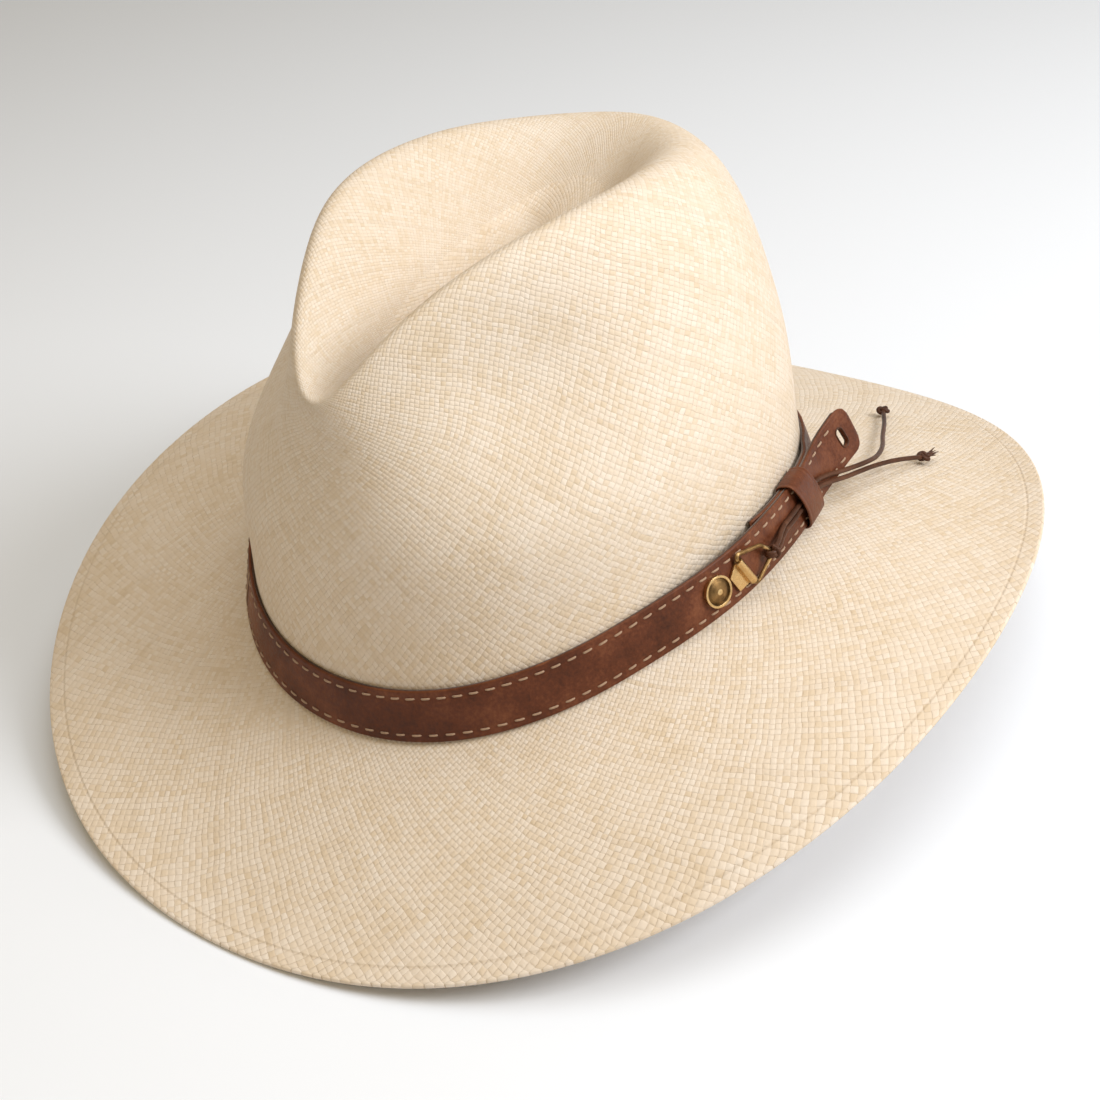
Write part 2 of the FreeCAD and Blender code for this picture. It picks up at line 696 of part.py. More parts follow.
# ---------------------------------------------------------------- keeper
def make_keeper():
    """A sheared leather sleeve: its top and bottom folds follow the strap, its ends are askew."""
    body = doc.addObject("PartDesign::Body", "keeper_loop")
    sketch = new_sketch(body, "XY_Plane", "keeper_section")
    far = "keeper_edge"
    profile(sketch, [("keeper_gap + keeper_leather", "keeper_half"),
                     ("keeper_gap + keeper_leather", "- keeper_half"),
                     (far, "- keeper_half"), (far, "keeper_half")], {2: "keeper_bow"})
    top = "keeper_half + keeper_leather"
    bottom = "- keeper_half - keeper_leather"
    outside = "keeper_edge + keeper_leather"
    profile(sketch, [("keeper_gap", top + " - keeper_fold"), ("keeper_gap", bottom + " + keeper_fold"),
                     ("keeper_gap + keeper_fold", bottom), (outside + " - keeper_fold", bottom),
                     (outside, bottom + " + keeper_fold"), (outside, top + " - keeper_fold"),
                     (outside + " - keeper_fold", top), ("keeper_gap + keeper_fold", top)],
            {4: "keeper_bow"})
    pad = body.newObject("PartDesign::Pad", "keeper_sleeve")
    pad.Profile = sketch
    pad.UseCustomVector = True
    skew = math.radians(size("keeper_skew"))
    pad.Direction = Vector(0, -math.sin(skew), -math.cos(skew))
    pad.AlongSketchNormal = False
    pad.Midplane = True
    bound(pad, Length="sizes.keeper_length")
    here, along, up, outward = strap_frame(KEEPER_PATH, -LAP_STAND)
    askew = up * math.cos(skew) - along * math.sin(skew)
    body.Placement = placement_on(here, outward, askew, outward.cross(askew))
    return body


keeper_loop = make_keeper()


# ---------------------------------------------------------------- clasp
BAR_SLANT = Vector(-0.366, 0.931, 0)    # the bar's direction, in the strap's along and up
BOSS_OFFSET = Vector(-9.3, 0.4, 0)      # boss from the bar, across and along the bar
LOOP_TILT = 2.0                         # the loop's plane lifts off the strap by this angle


def bar_frame():
    """Frame on the strap under the bar: across the bar, along the bar, outward."""
    here, along, up, outward = strap_frame(BAR_PATH)
    bar = (along * BAR_SLANT.x + up * BAR_SLANT.y).normalize()
    return here, bar.cross(outward).normalize(), bar, outward


def make_boss():
    body = doc.addObject("PartDesign::Body", "clasp_boss")
    sketch = new_sketch(body, "XZ_Plane", "boss_profile")
    profile(sketch, [("", "- stem_reach"), ("stem_radius", "- stem_reach"), ("stem_radius", "boss_lift"),
                     ("boss_radius", "boss_lift"), ("boss_radius", "boss_step"),
                     ("boss_radius - boss_rim", "boss_step"),
                     ("boss_radius - boss_rim - boss_groove", "boss_field"),
                     ("", "boss_height")], {6: ""})
    turned = body.newObject("PartDesign::Revolution", "boss_turned")
    turned.Profile = sketch
    turned.ReferenceAxis = (sketch, ["V_Axis"])
    turned.Angle = 360.0
    body.Placement = placement_on(*strap_frame(BOSS_PATH))
    return body


def make_burr():
    disc = bound(doc.addObject("Part::Cylinder", "burr_disc"),
                 Radius="sizes.burr_radius", Height="sizes.burr_height")
    hole = bound(doc.addObject("Part::Cylinder", "burr_hole"),
                 Radius="sizes.stem_radius + sizes.pin_clearance", Height="sizes.burr_height")
    burr = doc.addObject("Part::Cut", "clasp_burr")
    burr.Base, burr.Tool = disc, hole
    here, along, up, outward = strap_frame(BOSS_PATH)
    under = here - outward * (PLY + size("burr_height") + 2 * size("boss_lift"))
    burr.Placement = placement_on(under, along, up, outward)
    return burr


def make_tongue():
    """Plate from the boss to the bar, with the knuckle that the loop's straight side turns in."""
    body = doc.addObject("PartDesign::Body", "clasp_tongue")
    plate_sketch = new_sketch(body, "XY_Plane", "tongue_plate")
    root_x = BOSS_OFFSET.x + math.sqrt(size("boss_radius") ** 2 - size("tongue_root") ** 2)
    sheet.set("C1", str(round(root_x + size("boss_lift"), 4)))
    sheet.setAlias("C1", "tongue_start")
    doc.recompute()
    profile(plate_sketch, [("tongue_start", "tongue_root"), ("tongue_start", "- tongue_root"),
                           ("- tongue_reach", "- tongue_end"), ("- tongue_reach", "tongue_end")], {})
    plate = body.newObject("PartDesign::Pad", "tongue_pad")
    plate.Profile = plate_sketch
    bound(plate, Length="sizes.clasp_plate")
    knuckle_sketch = new_sketch(body, "XZ_Plane", "knuckle_outline")
    add_circle(knuckle_sketch, "knuckle_radius", "knuckle_radius", "knuckle")
    knuckle = body.newObject("PartDesign::Pad", "knuckle_pad")
    knuckle.Profile = knuckle_sketch
    knuckle.Midplane = True
    bound(knuckle, Length="sizes.bar_length")
    doc.recompute()
    bore_sketch = new_sketch(body, "XZ_Plane", "bore_outline")
    add_circle(bore_sketch, "knuckle_radius", "wire_radius + pin_clearance", "bore")
    bore = body.newObject("PartDesign::Pocket", "knuckle_bore")
    bore.Profile = bore_sketch
    bore.Midplane = True
    bound(bore, Length="2 * sizes.bar_length")
    doc.recompute()
    here, across, bar, outward = bar_frame()
    body.Placement = placement_on(here + outward * size("tongue_rest"), across, bar, outward)
    return body


clasp_boss = make_boss()
clasp_burr = make_burr()
clasp_tongue = make_tongue()


# ---------------------------------------------------------------- rods and cords along runs
def rounded_wire(points, radii):
    """Straight runs through the points, joined by tangent arcs of the given radii."""
    edges = []
    last = points[0]
    for k in range(1, len(points) - 1):
        corner = points[k]
        before = (points[k - 1] - corner).normalize()
        after = (points[k + 1] - corner).normalize()
        half_turn = (math.pi - before.getAngle(after)) / 2
        reach = radii[k - 1] * math.tan(half_turn)
        arc_start, arc_end = corner + before * reach, corner + after * reach
        bisector = (before + after).normalize()
        middle = corner + bisector * (radii[k - 1] / math.cos(half_turn) - radii[k - 1])
        edges.append(Part.LineSegment(last, arc_start).toShape())
        edges.append(Part.Arc(arc_start, middle, arc_end).toShape())
        last = arc_end
    edges.append(Part.LineSegment(last, points[-1]).toShape())
    return Part.Wire(edges)


def rod(wire, radius):
    """Round rod along a wire."""
    start = wire.Edges[0].valueAt(wire.Edges[0].FirstParameter)
    heading = wire.Edges[0].tangentAt(wire.Edges[0].FirstParameter)
    ring = Part.Wire([Part.makeCircle(radius, start, heading)])
    solid = wire.makePipeShell([ring], True, False)
    return solid if solid.ShapeType == "Solid" else Part.makeSolid(solid)


CORD_SHARE = 0.45       # part of the shorter run that an arc takes up


def cord_radii(points):
    radii = []
    for k in range(1, len(points) - 1):
        before, after = points[k - 1] - points[k], points[k + 1] - points[k]
        half_turn = (math.pi - before.getAngle(after)) / 2
        radii.append(CORD_SHARE * min(before.Length, after.Length) / math.tan(half_turn))
    return radii


def cord(name, route):
    """Solid of a cord along its route; prints its radii and its length."""
    points = [Vector(*place) for place in route]
    radii = cord_radii(points)
    wire = rounded_wire(points, radii)
    radius = size("lace_radius")
    solid = rod(wire, radius)
    print(name, "radii", [round(r, 1) for r in radii], "length", round(wire.Length, 2),
          "volume ratio", round(solid.Volume / (math.pi * radius ** 2 * wire.Length), 4))
    return solid


# ---------------------------------------------------------------- clasp's loop and the lace's hitch
LOOP_CORNERS = [(0, 0), (0, -7.0), (6.5, -6.2), (11.3, -5.5), (9.0, 0.5), (0, 7.2), (0, 0)]
LOOP_RADII = [1.8, 6.0, 2.0, 3.0, 1.1]


def loop_frame():
    here, across, bar, outward = bar_frame()
    tilt = math.radians(LOOP_TILT)
    lifted = across * math.cos(tilt) + outward * math.sin(tilt)
    centre = here + outward * (size("tongue_rest") + size("knuckle_radius"))
    return centre, lifted, bar, lifted.cross(bar)


def make_loop():
    points = [Vector(x, y, 0) for x, y in LOOP_CORNERS]
    loop = add_shape("clasp_loop", rod(rounded_wire(points, LOOP_RADII), size("wire_radius")))
    loop.Placement = placement_on(*loop_frame())
    return loop


HITCH_AT = Vector(10.55, -5.05, 0)      # middle of the hitch, in the loop's plane
HITCH_STEP = 0.8


def make_hitch():
    """Two turns of the lace about the loop's far corner."""
    centre, across, bar, outward = loop_frame()
    _, along, up, _ = strap_frame(BAR_PATH)
    turns = []
    for k, side in enumerate((-1, 1)):
        turn = bound(doc.addObject("Part::Torus", "hitch_turn_%d" % k),
                     Radius1="sizes.hitch_radius", Radius2="sizes.hitch_strand")
        axis = (up + along * (-0.35 * side)).normalize()
        place = centre + across * HITCH_AT.x + bar * HITCH_AT.y + up * (side * HITCH_STEP)
        turn.Placement = placement_on(place, axis.cross(outward).normalize() * -1,
                                      outward.cross(axis).cross(axis).normalize(), axis)
        turns.append(turn)
    hitch = doc.addObject("Part::Fuse", "lace_hitch")
    hitch.Base, hitch.Tool = turns
    return hitch


clasp_loop = make_loop()
lace_hitch = make_hitch()

# ---------------------------------------------------------------- lace
LEAD_UPPER = [(90.9, -10.5, 56.8), (90.3, -7.6, 57.1), (89.2, -4.3, 57.3), (88.5, -1.0, 57.25)]
LEAD_LOWER = [(91.1, -10.5, 54.9), (90.6, -7.6, 55.1), (89.6, -4.3, 55.3), (88.95, -1.0, 55.4)]
STRAND_UPPER = [(88.5, -1.0, 57.25), (87.95, 6.5, 57.05), (87.0, 14.0, 56.7), (85.8, 21.3, 56.15),
                (84.7, 27.5, 55.3), (85.1, 34.5, 53.3), (86.8, 42.0, 50.9), (87.9, 49.5, 48.6),
                (88.6, 57.5, 46.0), (87.6, 66.0, 42.6), (85.2, 75.0, 39.3), (81.8, 84.0, 36.0),
                (78.0, 92.0, 33.4), (74.5, 100.5, 30.7), (71.0, 109.0, 27.9), (67.0, 117.5, 25.3),
                (64.45, 122.5, 23.7)]
STRAND_LOWER = [(88.95, -1.0, 55.4), (88.45, 6.5, 55.2), (87.5, 14.0, 54.85), (86.35, 21.3, 54.3),
                (85.45, 27.5, 53.2), (86.4, 34.5, 51.2), (87.7, 42.0, 48.7), (88.6, 49.5, 46.5),
                (90.1, 58.0, 44.3), (91.9, 67.0, 41.4), (94.2, 76.0, 38.0), (96.0, 82.9, 34.9)]
KNOT_UPPER = (63.5, 124.4, 23.2)
KNOT_LOWER = (96.5, 84.8, 34.3)

lace_lead = add_shape("lace_lead", Part.makeCompound([cord("lead, upper", LEAD_UPPER),
                                                      cord("lead, lower", LEAD_LOWER)]))
lace_strand_upper = add_shape("lace_strand_upper", cord("strand, upper", STRAND_UPPER))
lace_strand_lower = add_shape("lace_strand_lower", cord("strand, lower", STRAND_LOWER))


def make_knots():
    """The upper strand ends in a plain knot, the lower one in a knot with a frayed end."""
    upper = bound(doc.addObject("Part::Sphere", "lace_knot_upper"), Radius="sizes.knot_radius")
    upper.Placement = FreeCAD.Placement(Vector(*KNOT_UPPER), FreeCAD.Rotation())
    ball = bound(doc.addObject("Part::Sphere", "knot_ball"), Radius="sizes.knot_radius")
    frayed = bound(doc.addObject("Part::Cone", "frayed_end"), Radius1="sizes.lace_radius",
                   Radius2="sizes.frayed_radius", Height="sizes.knot_radius + sizes.frayed_length")
    heading = Vector(*KNOT_LOWER) - Vector(*STRAND_LOWER[-1])
    heading = Vector(heading.x, heading.y, heading.z * 0.5).normalize()
    frayed.Placement = FreeCAD.Placement(Vector(0, 0, 0), FreeCAD.Rotation(Vector(0, 0, 1), heading))
    lower = doc.addObject("Part::Fuse", "lace_knot_lower")
    lower.Base, lower.Tool = ball, frayed
    lower.Placement = FreeCAD.Placement(Vector(*KNOT_LOWER), FreeCAD.Rotation())
    return upper, lower


lace_knot_upper, lace_knot_lower = make_knots()

SUB_PARTS = [straw_body, sweatband, sweatband_thread, band_backing, band_strap, band_thread_upper,
             band_thread_lower, band_tacks, keeper_loop, clasp_boss, clasp_burr, clasp_tongue,
             clasp_loop, lace_hitch, lace_lead, lace_strand_upper, lace_strand_lower,
             lace_knot_upper, lace_knot_lower]

doc.recompute()
for thing in doc.Objects:
    if "Invalid" in thing.State or "Error" in thing.State:
        raise RuntimeError("%s failed: %s" % (thing.Name, thing.State))
for sub_part in SUB_PARTS:
    sub_part.Label = sub_part.Name
    if sub_part.Shape.isNull() or not sub_part.Shape.isValid():
        raise RuntimeError(sub_part.Name + " has no valid shape")

os.makedirs("parts", exist_ok=True)
for sub_part in SUB_PARTS:
    sub_part.Shape.exportStep("parts/%s.step" % sub_part.Label)
print("wrote", len(SUB_PARTS), "sub-parts")
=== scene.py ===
import bmesh
import bpy
import math
import numpy as np
from mathutils import Matrix, Vector


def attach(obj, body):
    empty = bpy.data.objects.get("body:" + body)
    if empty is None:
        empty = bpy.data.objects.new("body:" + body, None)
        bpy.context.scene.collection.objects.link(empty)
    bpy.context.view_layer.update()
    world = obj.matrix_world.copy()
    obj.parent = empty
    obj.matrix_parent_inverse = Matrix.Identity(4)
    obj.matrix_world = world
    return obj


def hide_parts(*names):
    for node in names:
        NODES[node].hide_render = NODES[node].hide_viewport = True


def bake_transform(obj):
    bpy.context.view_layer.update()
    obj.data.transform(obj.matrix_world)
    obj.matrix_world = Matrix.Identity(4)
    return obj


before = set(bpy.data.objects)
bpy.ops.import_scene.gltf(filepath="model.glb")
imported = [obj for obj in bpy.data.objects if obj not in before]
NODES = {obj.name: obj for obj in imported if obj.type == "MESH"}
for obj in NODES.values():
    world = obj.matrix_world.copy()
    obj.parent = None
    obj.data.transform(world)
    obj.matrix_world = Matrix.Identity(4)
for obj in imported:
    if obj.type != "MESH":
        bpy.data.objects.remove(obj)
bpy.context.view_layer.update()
MM = 0.001


def new_object(name, data):
    """An object in the scene; it rides on nothing yet."""
    made = bpy.data.objects.new(name, data)
    bpy.context.scene.collection.objects.link(made)
    return made


# ---- the straw's surface, in mm
LOOP_POLES = 24
STRAW_THICK = 1.6
CROWN_FORWARD = 6.75
SETTLE_TILT = math.radians(0.92)
BRIM_FRONT, BRIM_BACK, BRIM_SIDE, BRIM_RISE = 172.0, 185.7, 158.3, 38.4
CROWN_FRONT, CROWN_SIDE = 102.5, 84.5
FOOT_FRONT, FOOT_SIDE, FOOT_BACK = 29.5, 46.5, 26.5
RIDGE_TOP, DENT_FLOOR = 164.0, 121.6


def settled(x, y, z):
    """A pole in the hat's frame, from its place about the crown's middle."""
    c, s = math.cos(SETTLE_TILT), math.sin(SETTLE_TILT)
    return (x, y * c - z * s - CROWN_FORWARD, y * s + z * c + STRAW_THICK)


def signed_power(value, exponent):
    return math.copysign(abs(value) ** exponent, value)


def oval_loop(front, back, side, squareness, z_front, z_side, z_back, lift_3=0.0,
              pinch=0.0, pinch_at=44.0, pinch_spread=26.0):
    """A rounded-oval loop of poles. A pinch pulls in both front quarters."""
    poles = []
    for k in range(LOOP_POLES):
        turn = 2 * math.pi * k / LOOP_POLES
        c, s = math.cos(turn), math.sin(turn)
        from_front = abs(math.degrees(math.atan2(s, c)))
        pull = pinch * math.exp(-((from_front - pinch_at) / pinch_spread) ** 2)
        reach = (front + back) / 2 + (front - back) / 2 * c
        x = side * signed_power(s, 2 / squareness) * (1 - pull)
        y = -reach * signed_power(c, 2 / squareness) * (1 - 0.6 * pull)
        z = ((z_front + z_back + 2 * z_side) / 4 + (z_front - z_back) / 2 * c
             + (z_front + z_back - 2 * z_side) / 4 * math.cos(2 * turn)
             + lift_3 * math.cos(3 * turn))
        poles.append(settled(x, y, z))
    return poles


def cosine_value(stations, turn):
    """Even smooth curve through values given every 30 degrees from front to back."""
    last = len(stations) - 1
    total = 0.0
    for m in range(last + 1):
        part = 0.0
        for k, value in enumerate(stations):
            weight = 0.5 if k in (0, last) else 1.0
            part += weight * value * math.cos(m * k * math.pi / last)
        part *= (1 if m in (0, last) else 2) / last
        total += part * math.cos(m * turn)
    return total


def sine_value(stations, turn):
    """Odd smooth curve through values given every 30 degrees; the end values are zero."""
    last = len(stations) - 1
    total = 0.0
    for m in range(1, last):
        part = sum(v * math.sin(m * k * math.pi / last) for k, v in enumerate(stations))
        total += 2 / last * part * math.sin(m * turn)
    return total


def shaped_loop(widths, places, heights):
    """A loop from half widths (x), places (y) and heights (z), every 30 degrees."""
    poles = []
    for k in range(LOOP_POLES):
        turn = 2 * math.pi * k / LOOP_POLES
        poles.append(settled(sine_value(widths, turn), cosine_value(places, turn),
                             cosine_value(heights, turn)))
    return poles


def straw_loops():
    front, back, side, rise = BRIM_FRONT, BRIM_BACK, BRIM_SIDE, BRIM_RISE
    foot_y, foot_x = CROWN_FRONT, CROWN_SIDE
    foot = (FOOT_FRONT, FOOT_SIDE, FOOT_BACK)
    top, floor = RIDGE_TOP, DENT_FLOOR
    brim = [
        oval_loop(front, back, side, 2.11, -0.9, rise, -0.9, lift_3=3.1),
        oval_loop(front - 11, back - 12.5, side - 11, 2.1, 3.5, rise + 0.5, 3.0),
        oval_loop(front - 29, back - 34.5, side - 30.5, 2.1, 10.0, rise + 1.1, 9.0),
        oval_loop(front - 48, back - 59.5, side - 50.5, 2.1, 19.0, rise + 3.0, 18.0),
    ]
    wall = [
        oval_loop(foot_y + 4.5, foot_y + 4.5, foot_x + 6.5, 2.1,
                  foot[0] - 3, foot[1] - 3.5, foot[2] - 3),
        oval_loop(foot_y, foot_y, foot_x, 2.1, foot[0] - 0.5, foot[1] - 0.5, foot[2] - 0.5),
        oval_loop(foot_y - 1.5, foot_y - 1.5, foot_x - 2.0, 2.1,
                  foot[0] + 12.5, foot[1] + 10.5, foot[2] + 13.5),
        oval_loop(99.0, 99.5, 81.5, 2.1, 64.0, 70.0, 62.0),
        oval_loop(96.0, 99.0, 80.0, 2.1, 86.0, 91.0, 88.0, pinch=-0.01, pinch_at=40.0),
        oval_loop(92.5, 97.5, 74.0, 2.1, 103.0, 110.0, 108.0, pinch=0.13, pinch_at=48.0),
        oval_loop(90.0, 93.5, 68.0, 2.1, 116.0, 131.0, 125.0,
                  pinch=0.31, pinch_at=52.0, pinch_spread=28.0),
    ]
    shoulder = shaped_loop([0, 17, 34, 49.5, 51, 35, 0], [-89, -77, -47, -8, 38, 72, 90],
                           [top - 36, top - 30, top - 16, top - 11, top - 14, top - 21, top - 24])
    ridge = shaped_loop([0, 13, 29, 41, 38, 23, 0], [-88, -78, -46, -8, 38, 68, 83],
                        [top - 34, top - 20, top - 4.5, top - 1, top - 7.5, top - 13.5, top - 16])
    inside = shaped_loop([0, 9, 19, 28, 26, 15, 0], [-82, -71, -41, -4, 32, 58, 68],
                         [top - 36, top - 27, top - 15, top - 14, top - 17, top - 18, top - 17])
    dent_wall = shaped_loop([0, 5, 12, 17.5, 19, 13, 0], [-69, -58, -32, 0, 28, 47, 54],
                            [floor + 5.4, floor + 9.4, floor + 14.4, floor + 15.4, floor + 14.4,
                             floor + 16.4, floor + 18.4])
    dent = shaped_loop([0, 3, 7, 10, 12, 8, 0], [-45, -38, -20, 2, 22, 34, 38],
                       [floor + 2.4, floor + 1.4, floor + 0.4, floor - 0.6, floor + 0.4,
                        floor + 5.4, floor + 10.4])
    tip = shaped_loop([0, 1, 1.7, 2, 1.7, 1, 0], [3, 3.3, 4, 5, 6, 6.7, 7], [floor - 1.6] * 7)
    return np.array(brim + wall + [shoulder, ridge, inside, dent_wall, dent, tip])


POLES = straw_loops()
ROWS = len(POLES)
ACROSS_END = float(ROWS - 3)
KNOTS = [0.0] * 4 + [float(k) for k in range(1, ROWS - 3)] + [ACROSS_END] * 4


def round_weights(turns):
    """Uniform periodic cubic weights of the poles of a loop."""
    turns = np.atleast_1d(np.asarray(turns, float)) % LOOP_POLES
    cell = np.floor(turns).astype(int)
    f = turns - cell
    parts = [(1 - f) ** 3 / 6, (3 * f ** 3 - 6 * f ** 2 + 4) / 6,
             (-3 * f ** 3 + 3 * f ** 2 + 3 * f + 1) / 6, f ** 3 / 6]
    weights = np.zeros((len(turns), LOOP_POLES))
    for k, part in enumerate(parts):
        np.add.at(weights, (np.arange(len(turns)), (cell + k - 1) % LOOP_POLES), part)
    return weights


def across_weights(places):
    """Clamped cubic weights of the loops, from the brim's edge to the dent's tip."""
    places = np.clip(np.atleast_1d(np.asarray(places, float)), 0, ACROSS_END - 1e-9)
    table = [((places >= KNOTS[k]) & (places < KNOTS[k + 1])).astype(float)
             for k in range(len(KNOTS) - 1)]
    for degree in range(1, 4):
        following = []
        for k in range(len(KNOTS) - 1 - degree):
            total = np.zeros_like(places)
            left = KNOTS[k + degree] - KNOTS[k]
            right = KNOTS[k + degree + 1] - KNOTS[k + 1]
            if left > 0:
                total = total + (places - KNOTS[k]) / left * table[k]
            if right > 0:
                total = total + (KNOTS[k + degree + 1] - places) / right * table[k + 1]
            following.append(total)
        table = following
    return np.array(table).T


def straw_grid(turns, places):
    """Points of the outer surface, indexed [round][across]."""
    return np.einsum("ik,jr,rkc->ijc", round_weights(turns), across_weights(places), POLES)


def straw_point(turn, place):
    return straw_grid([turn], [place])[0, 0]


def grid_normals(grid):
    """Unit normals of a grid that closes on itself round the hat."""
    around = np.roll(grid, -1, 0) - np.roll(grid, 1, 0)
    over = np.gradient(grid, axis=1)
    normals = np.cross(around, over)
    return normals / np.linalg.norm(normals, axis=2, keepdims=True)


# ---- frames along the band, in mm
BAND_WIDTH, STITCH_INSET = 16.2, 2.3
LEATHER, BACKING, PLY_GAP, BAND_GAP = 0.9, 0.5, 0.04, 0.2
KEEPER_GAP, KEEPER_WALL, KEEPER_PLAY, LAYER_GAP = 0.35, 0.8, 0.6, 0.16
PLY = BACKING + PLY_GAP + LEATHER
KEEPER_STAND = KEEPER_GAP + KEEPER_WALL + KEEPER_PLAY
LAP_STAND = KEEPER_STAND + PLY + LAYER_GAP
START, BAR_PATH = 88.0, 441.0        # path angles of the strap's hidden end and the loop's bar
KEEPER_AT = 103.0
KEEPER_PATH = 360.0 + KEEPER_AT
TAIL_PATH = KEEPER_PATH + 5.0
TAIL_TIP = np.array([82.6, 56.0, 59.4])
TAIL_END_ALONG = np.array([0.05, 0.99, 0.1])
TAIL_END_UP = np.array([-0.42, -0.06, 0.9])
TAIL_TIP_WIDTH = 9.6
SLOT_LONG, SLOT_WIDE, SLOT_AT = 6.4, 3.0, 0.78


def unit(v):
    v = np.asarray(v, float)
    return v / np.linalg.norm(v)


def turn_of(angle):
    return (angle / 360.0 * LOOP_POLES) % LOOP_POLES


def foot_height(angle):
    a = math.radians(angle)
    z = ((FOOT_FRONT + FOOT_BACK + 2 * FOOT_SIDE) / 4 + (FOOT_FRONT - FOOT_BACK) / 2 * math.cos(a)
         + (FOOT_FRONT + FOOT_BACK - 2 * FOOT_SIDE) / 4 * math.cos(2 * a))
    return z - 1.0 + STRAW_THICK - CROWN_FRONT * math.cos(a) * math.sin(SETTLE_TILT)


FINE = np.linspace(2.2, 7.5, 400)
FINE_WEIGHTS = across_weights(FINE)


def wall_frame(angle):
    """Foot point, top point and outward normal of the wall under the band."""
    column = np.einsum("k,jr,rkc->jc", round_weights([turn_of(angle)])[0], FINE_WEIGHTS, POLES)
    low = float(np.interp(foot_height(angle), column[:, 2], FINE))
    foot = straw_point(turn_of(angle), low)
    gap = np.linalg.norm(column - foot, axis=1)
    gap[FINE < low] *= -1
    top = straw_point(turn_of(angle), float(np.interp(BAND_WIDTH, gap, FINE)))
    ahead = unit(straw_point(turn_of(angle + 0.5), low) - straw_point(turn_of(angle - 0.5), low))
    outward = unit(np.cross(ahead, unit(top - foot)))
    return foot, top, outward


def smooth_step(value):
    value = min(max(value, 0.0), 1.0)
    return value * value * (3 - 2 * value)


def strap_stand(path):
    """Distance of the strap's hidden face from the straw at a path angle."""
    if path < 400.0:
        near_keeper = 1 - smooth_step((abs(path - KEEPER_AT) - 9.0) / 9.0)
        return BAND_GAP + (KEEPER_STAND - BAND_GAP) * near_keeper
    return BAND_GAP + (LAP_STAND - BAND_GAP) * smooth_step((path - 416.0) / 28.0)


def strap_middle(path, depth):
    foot, top, outward = wall_frame(path)
    return (foot + top) / 2 + outward * (strap_stand(path) + depth), unit(top - foot)


def strap_frame(path, depth=PLY):
    """Origin, along, up and outward on the strap at a path angle."""
    here, up = strap_middle(path, depth)
    along = unit(strap_middle(path + 0.5, depth)[0] - strap_middle(path - 0.5, depth)[0])
    outward = unit(np.cross(along, up))
    return here, along, unit(np.cross(outward, along)), outward


def tail_frame(part):
    """Frame on the tail; part runs from 0 at the keeper to 1 at the tip."""
    begin, along, up, _ = strap_frame(TAIL_PATH, 0.0)
    reach = np.linalg.norm(TAIL_TIP - begin)
    end_along = unit(TAIL_END_ALONG)
    controls = [begin, begin + along * reach * 0.35, TAIL_TIP - end_along * reach * 0.35, TAIL_TIP]
    rest = 1 - part
    weights = [rest ** 3, 3 * rest ** 2 * part, 3 * rest * part ** 2, part ** 3]
    here = sum(c * w for c, w in zip(controls, weights))
    slopes = [rest ** 2, 2 * rest * part, part ** 2]
    course = unit(sum((controls[k + 1] - controls[k]) * w for k, w in enumerate(slopes)))
    lean = smooth_step(part)
    raised = unit(up * (1 - lean) + unit(TAIL_END_UP) * lean)
    outward = unit(np.cross(course, raised))
    return here, course, unit(np.cross(outward, course)), outward


# ---- camera
TARGET_HEIGHT = 35.66
CAMERA_AZIMUTH, CAMERA_ELEVATION, CAMERA_ROLL = (math.radians(a) for a in (38.81, 34.22, -8.39))
CAMERA_DISTANCE = 553.54
FOCAL_WIDTHS = 1.5147            # focal length over the image's width
SENSOR = 36.0
SHIFT_RIGHT, SHIFT_UP = 0.011, -0.0262


def settled_vector(v):
    """A direction turned with the hat as it settles."""
    return Matrix.Rotation(SETTLE_TILT, 3, "X") @ v


def make_camera():
    a, e, r = CAMERA_AZIMUTH, CAMERA_ELEVATION, CAMERA_ROLL
    back = Vector((math.sin(a) * math.cos(e), -math.cos(a) * math.cos(e), math.sin(e)))
    right = Vector((math.cos(a), math.sin(a), 0))
    up = back.cross(right)
    rolled_right = right * math.cos(r) + up * math.sin(r)
    rolled_up = up * math.cos(r) - right * math.sin(r)
    place = Vector((0, 0, TARGET_HEIGHT)) + back * CAMERA_DISTANCE
    place = settled_vector(place) + Vector((0, -CROWN_FORWARD, STRAW_THICK))
    axes = [settled_vector(v) for v in (rolled_right, rolled_up, back)]
    data = bpy.data.cameras.new("camera")
    data.sensor_width = SENSOR
    data.lens = SENSOR * FOCAL_WIDTHS
    data.shift_x, data.shift_y = SHIFT_RIGHT, SHIFT_UP
    data.clip_start, data.clip_end = 0.01, 20.0
    camera = new_object("camera", data)
    turn = Matrix((axes[0], axes[1], axes[2])).transposed().to_4x4()
    camera.matrix_world = Matrix.Translation(place * MM) @ turn
    bpy.context.scene.camera = camera
    return camera, axes


camera, (view_right, view_up, view_back) = make_camera()


# ---- mesh helpers
def metres(points):
    return [tuple(float(c) * MM for c in p) for p in points]


def add_object(name, data, body="hat"):
    piece = new_object(name, data)
    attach(piece, body)
    return piece


def add_mesh(name, points, faces, body="hat"):
    data = bpy.data.meshes.new(name)
    data.from_pydata(metres(points), [], [tuple(int(i) for i in f) for f in faces])
    data.validate()
    data.polygons.foreach_set("use_smooth", [True] * len(data.polygons))
    data.update()
    return add_object(name, data, body)


def set_uv(piece, uvs):
    """One uv pair per vertex."""
    layer = piece.data.uv_layers.new(name="UVMap")
    corners = np.empty(len(piece.data.loops), dtype=np.int32)
    piece.data.loops.foreach_get("vertex_index", corners)
    layer.data.foreach_set("uv", np.asarray(uvs, np.float32)[corners].ravel())


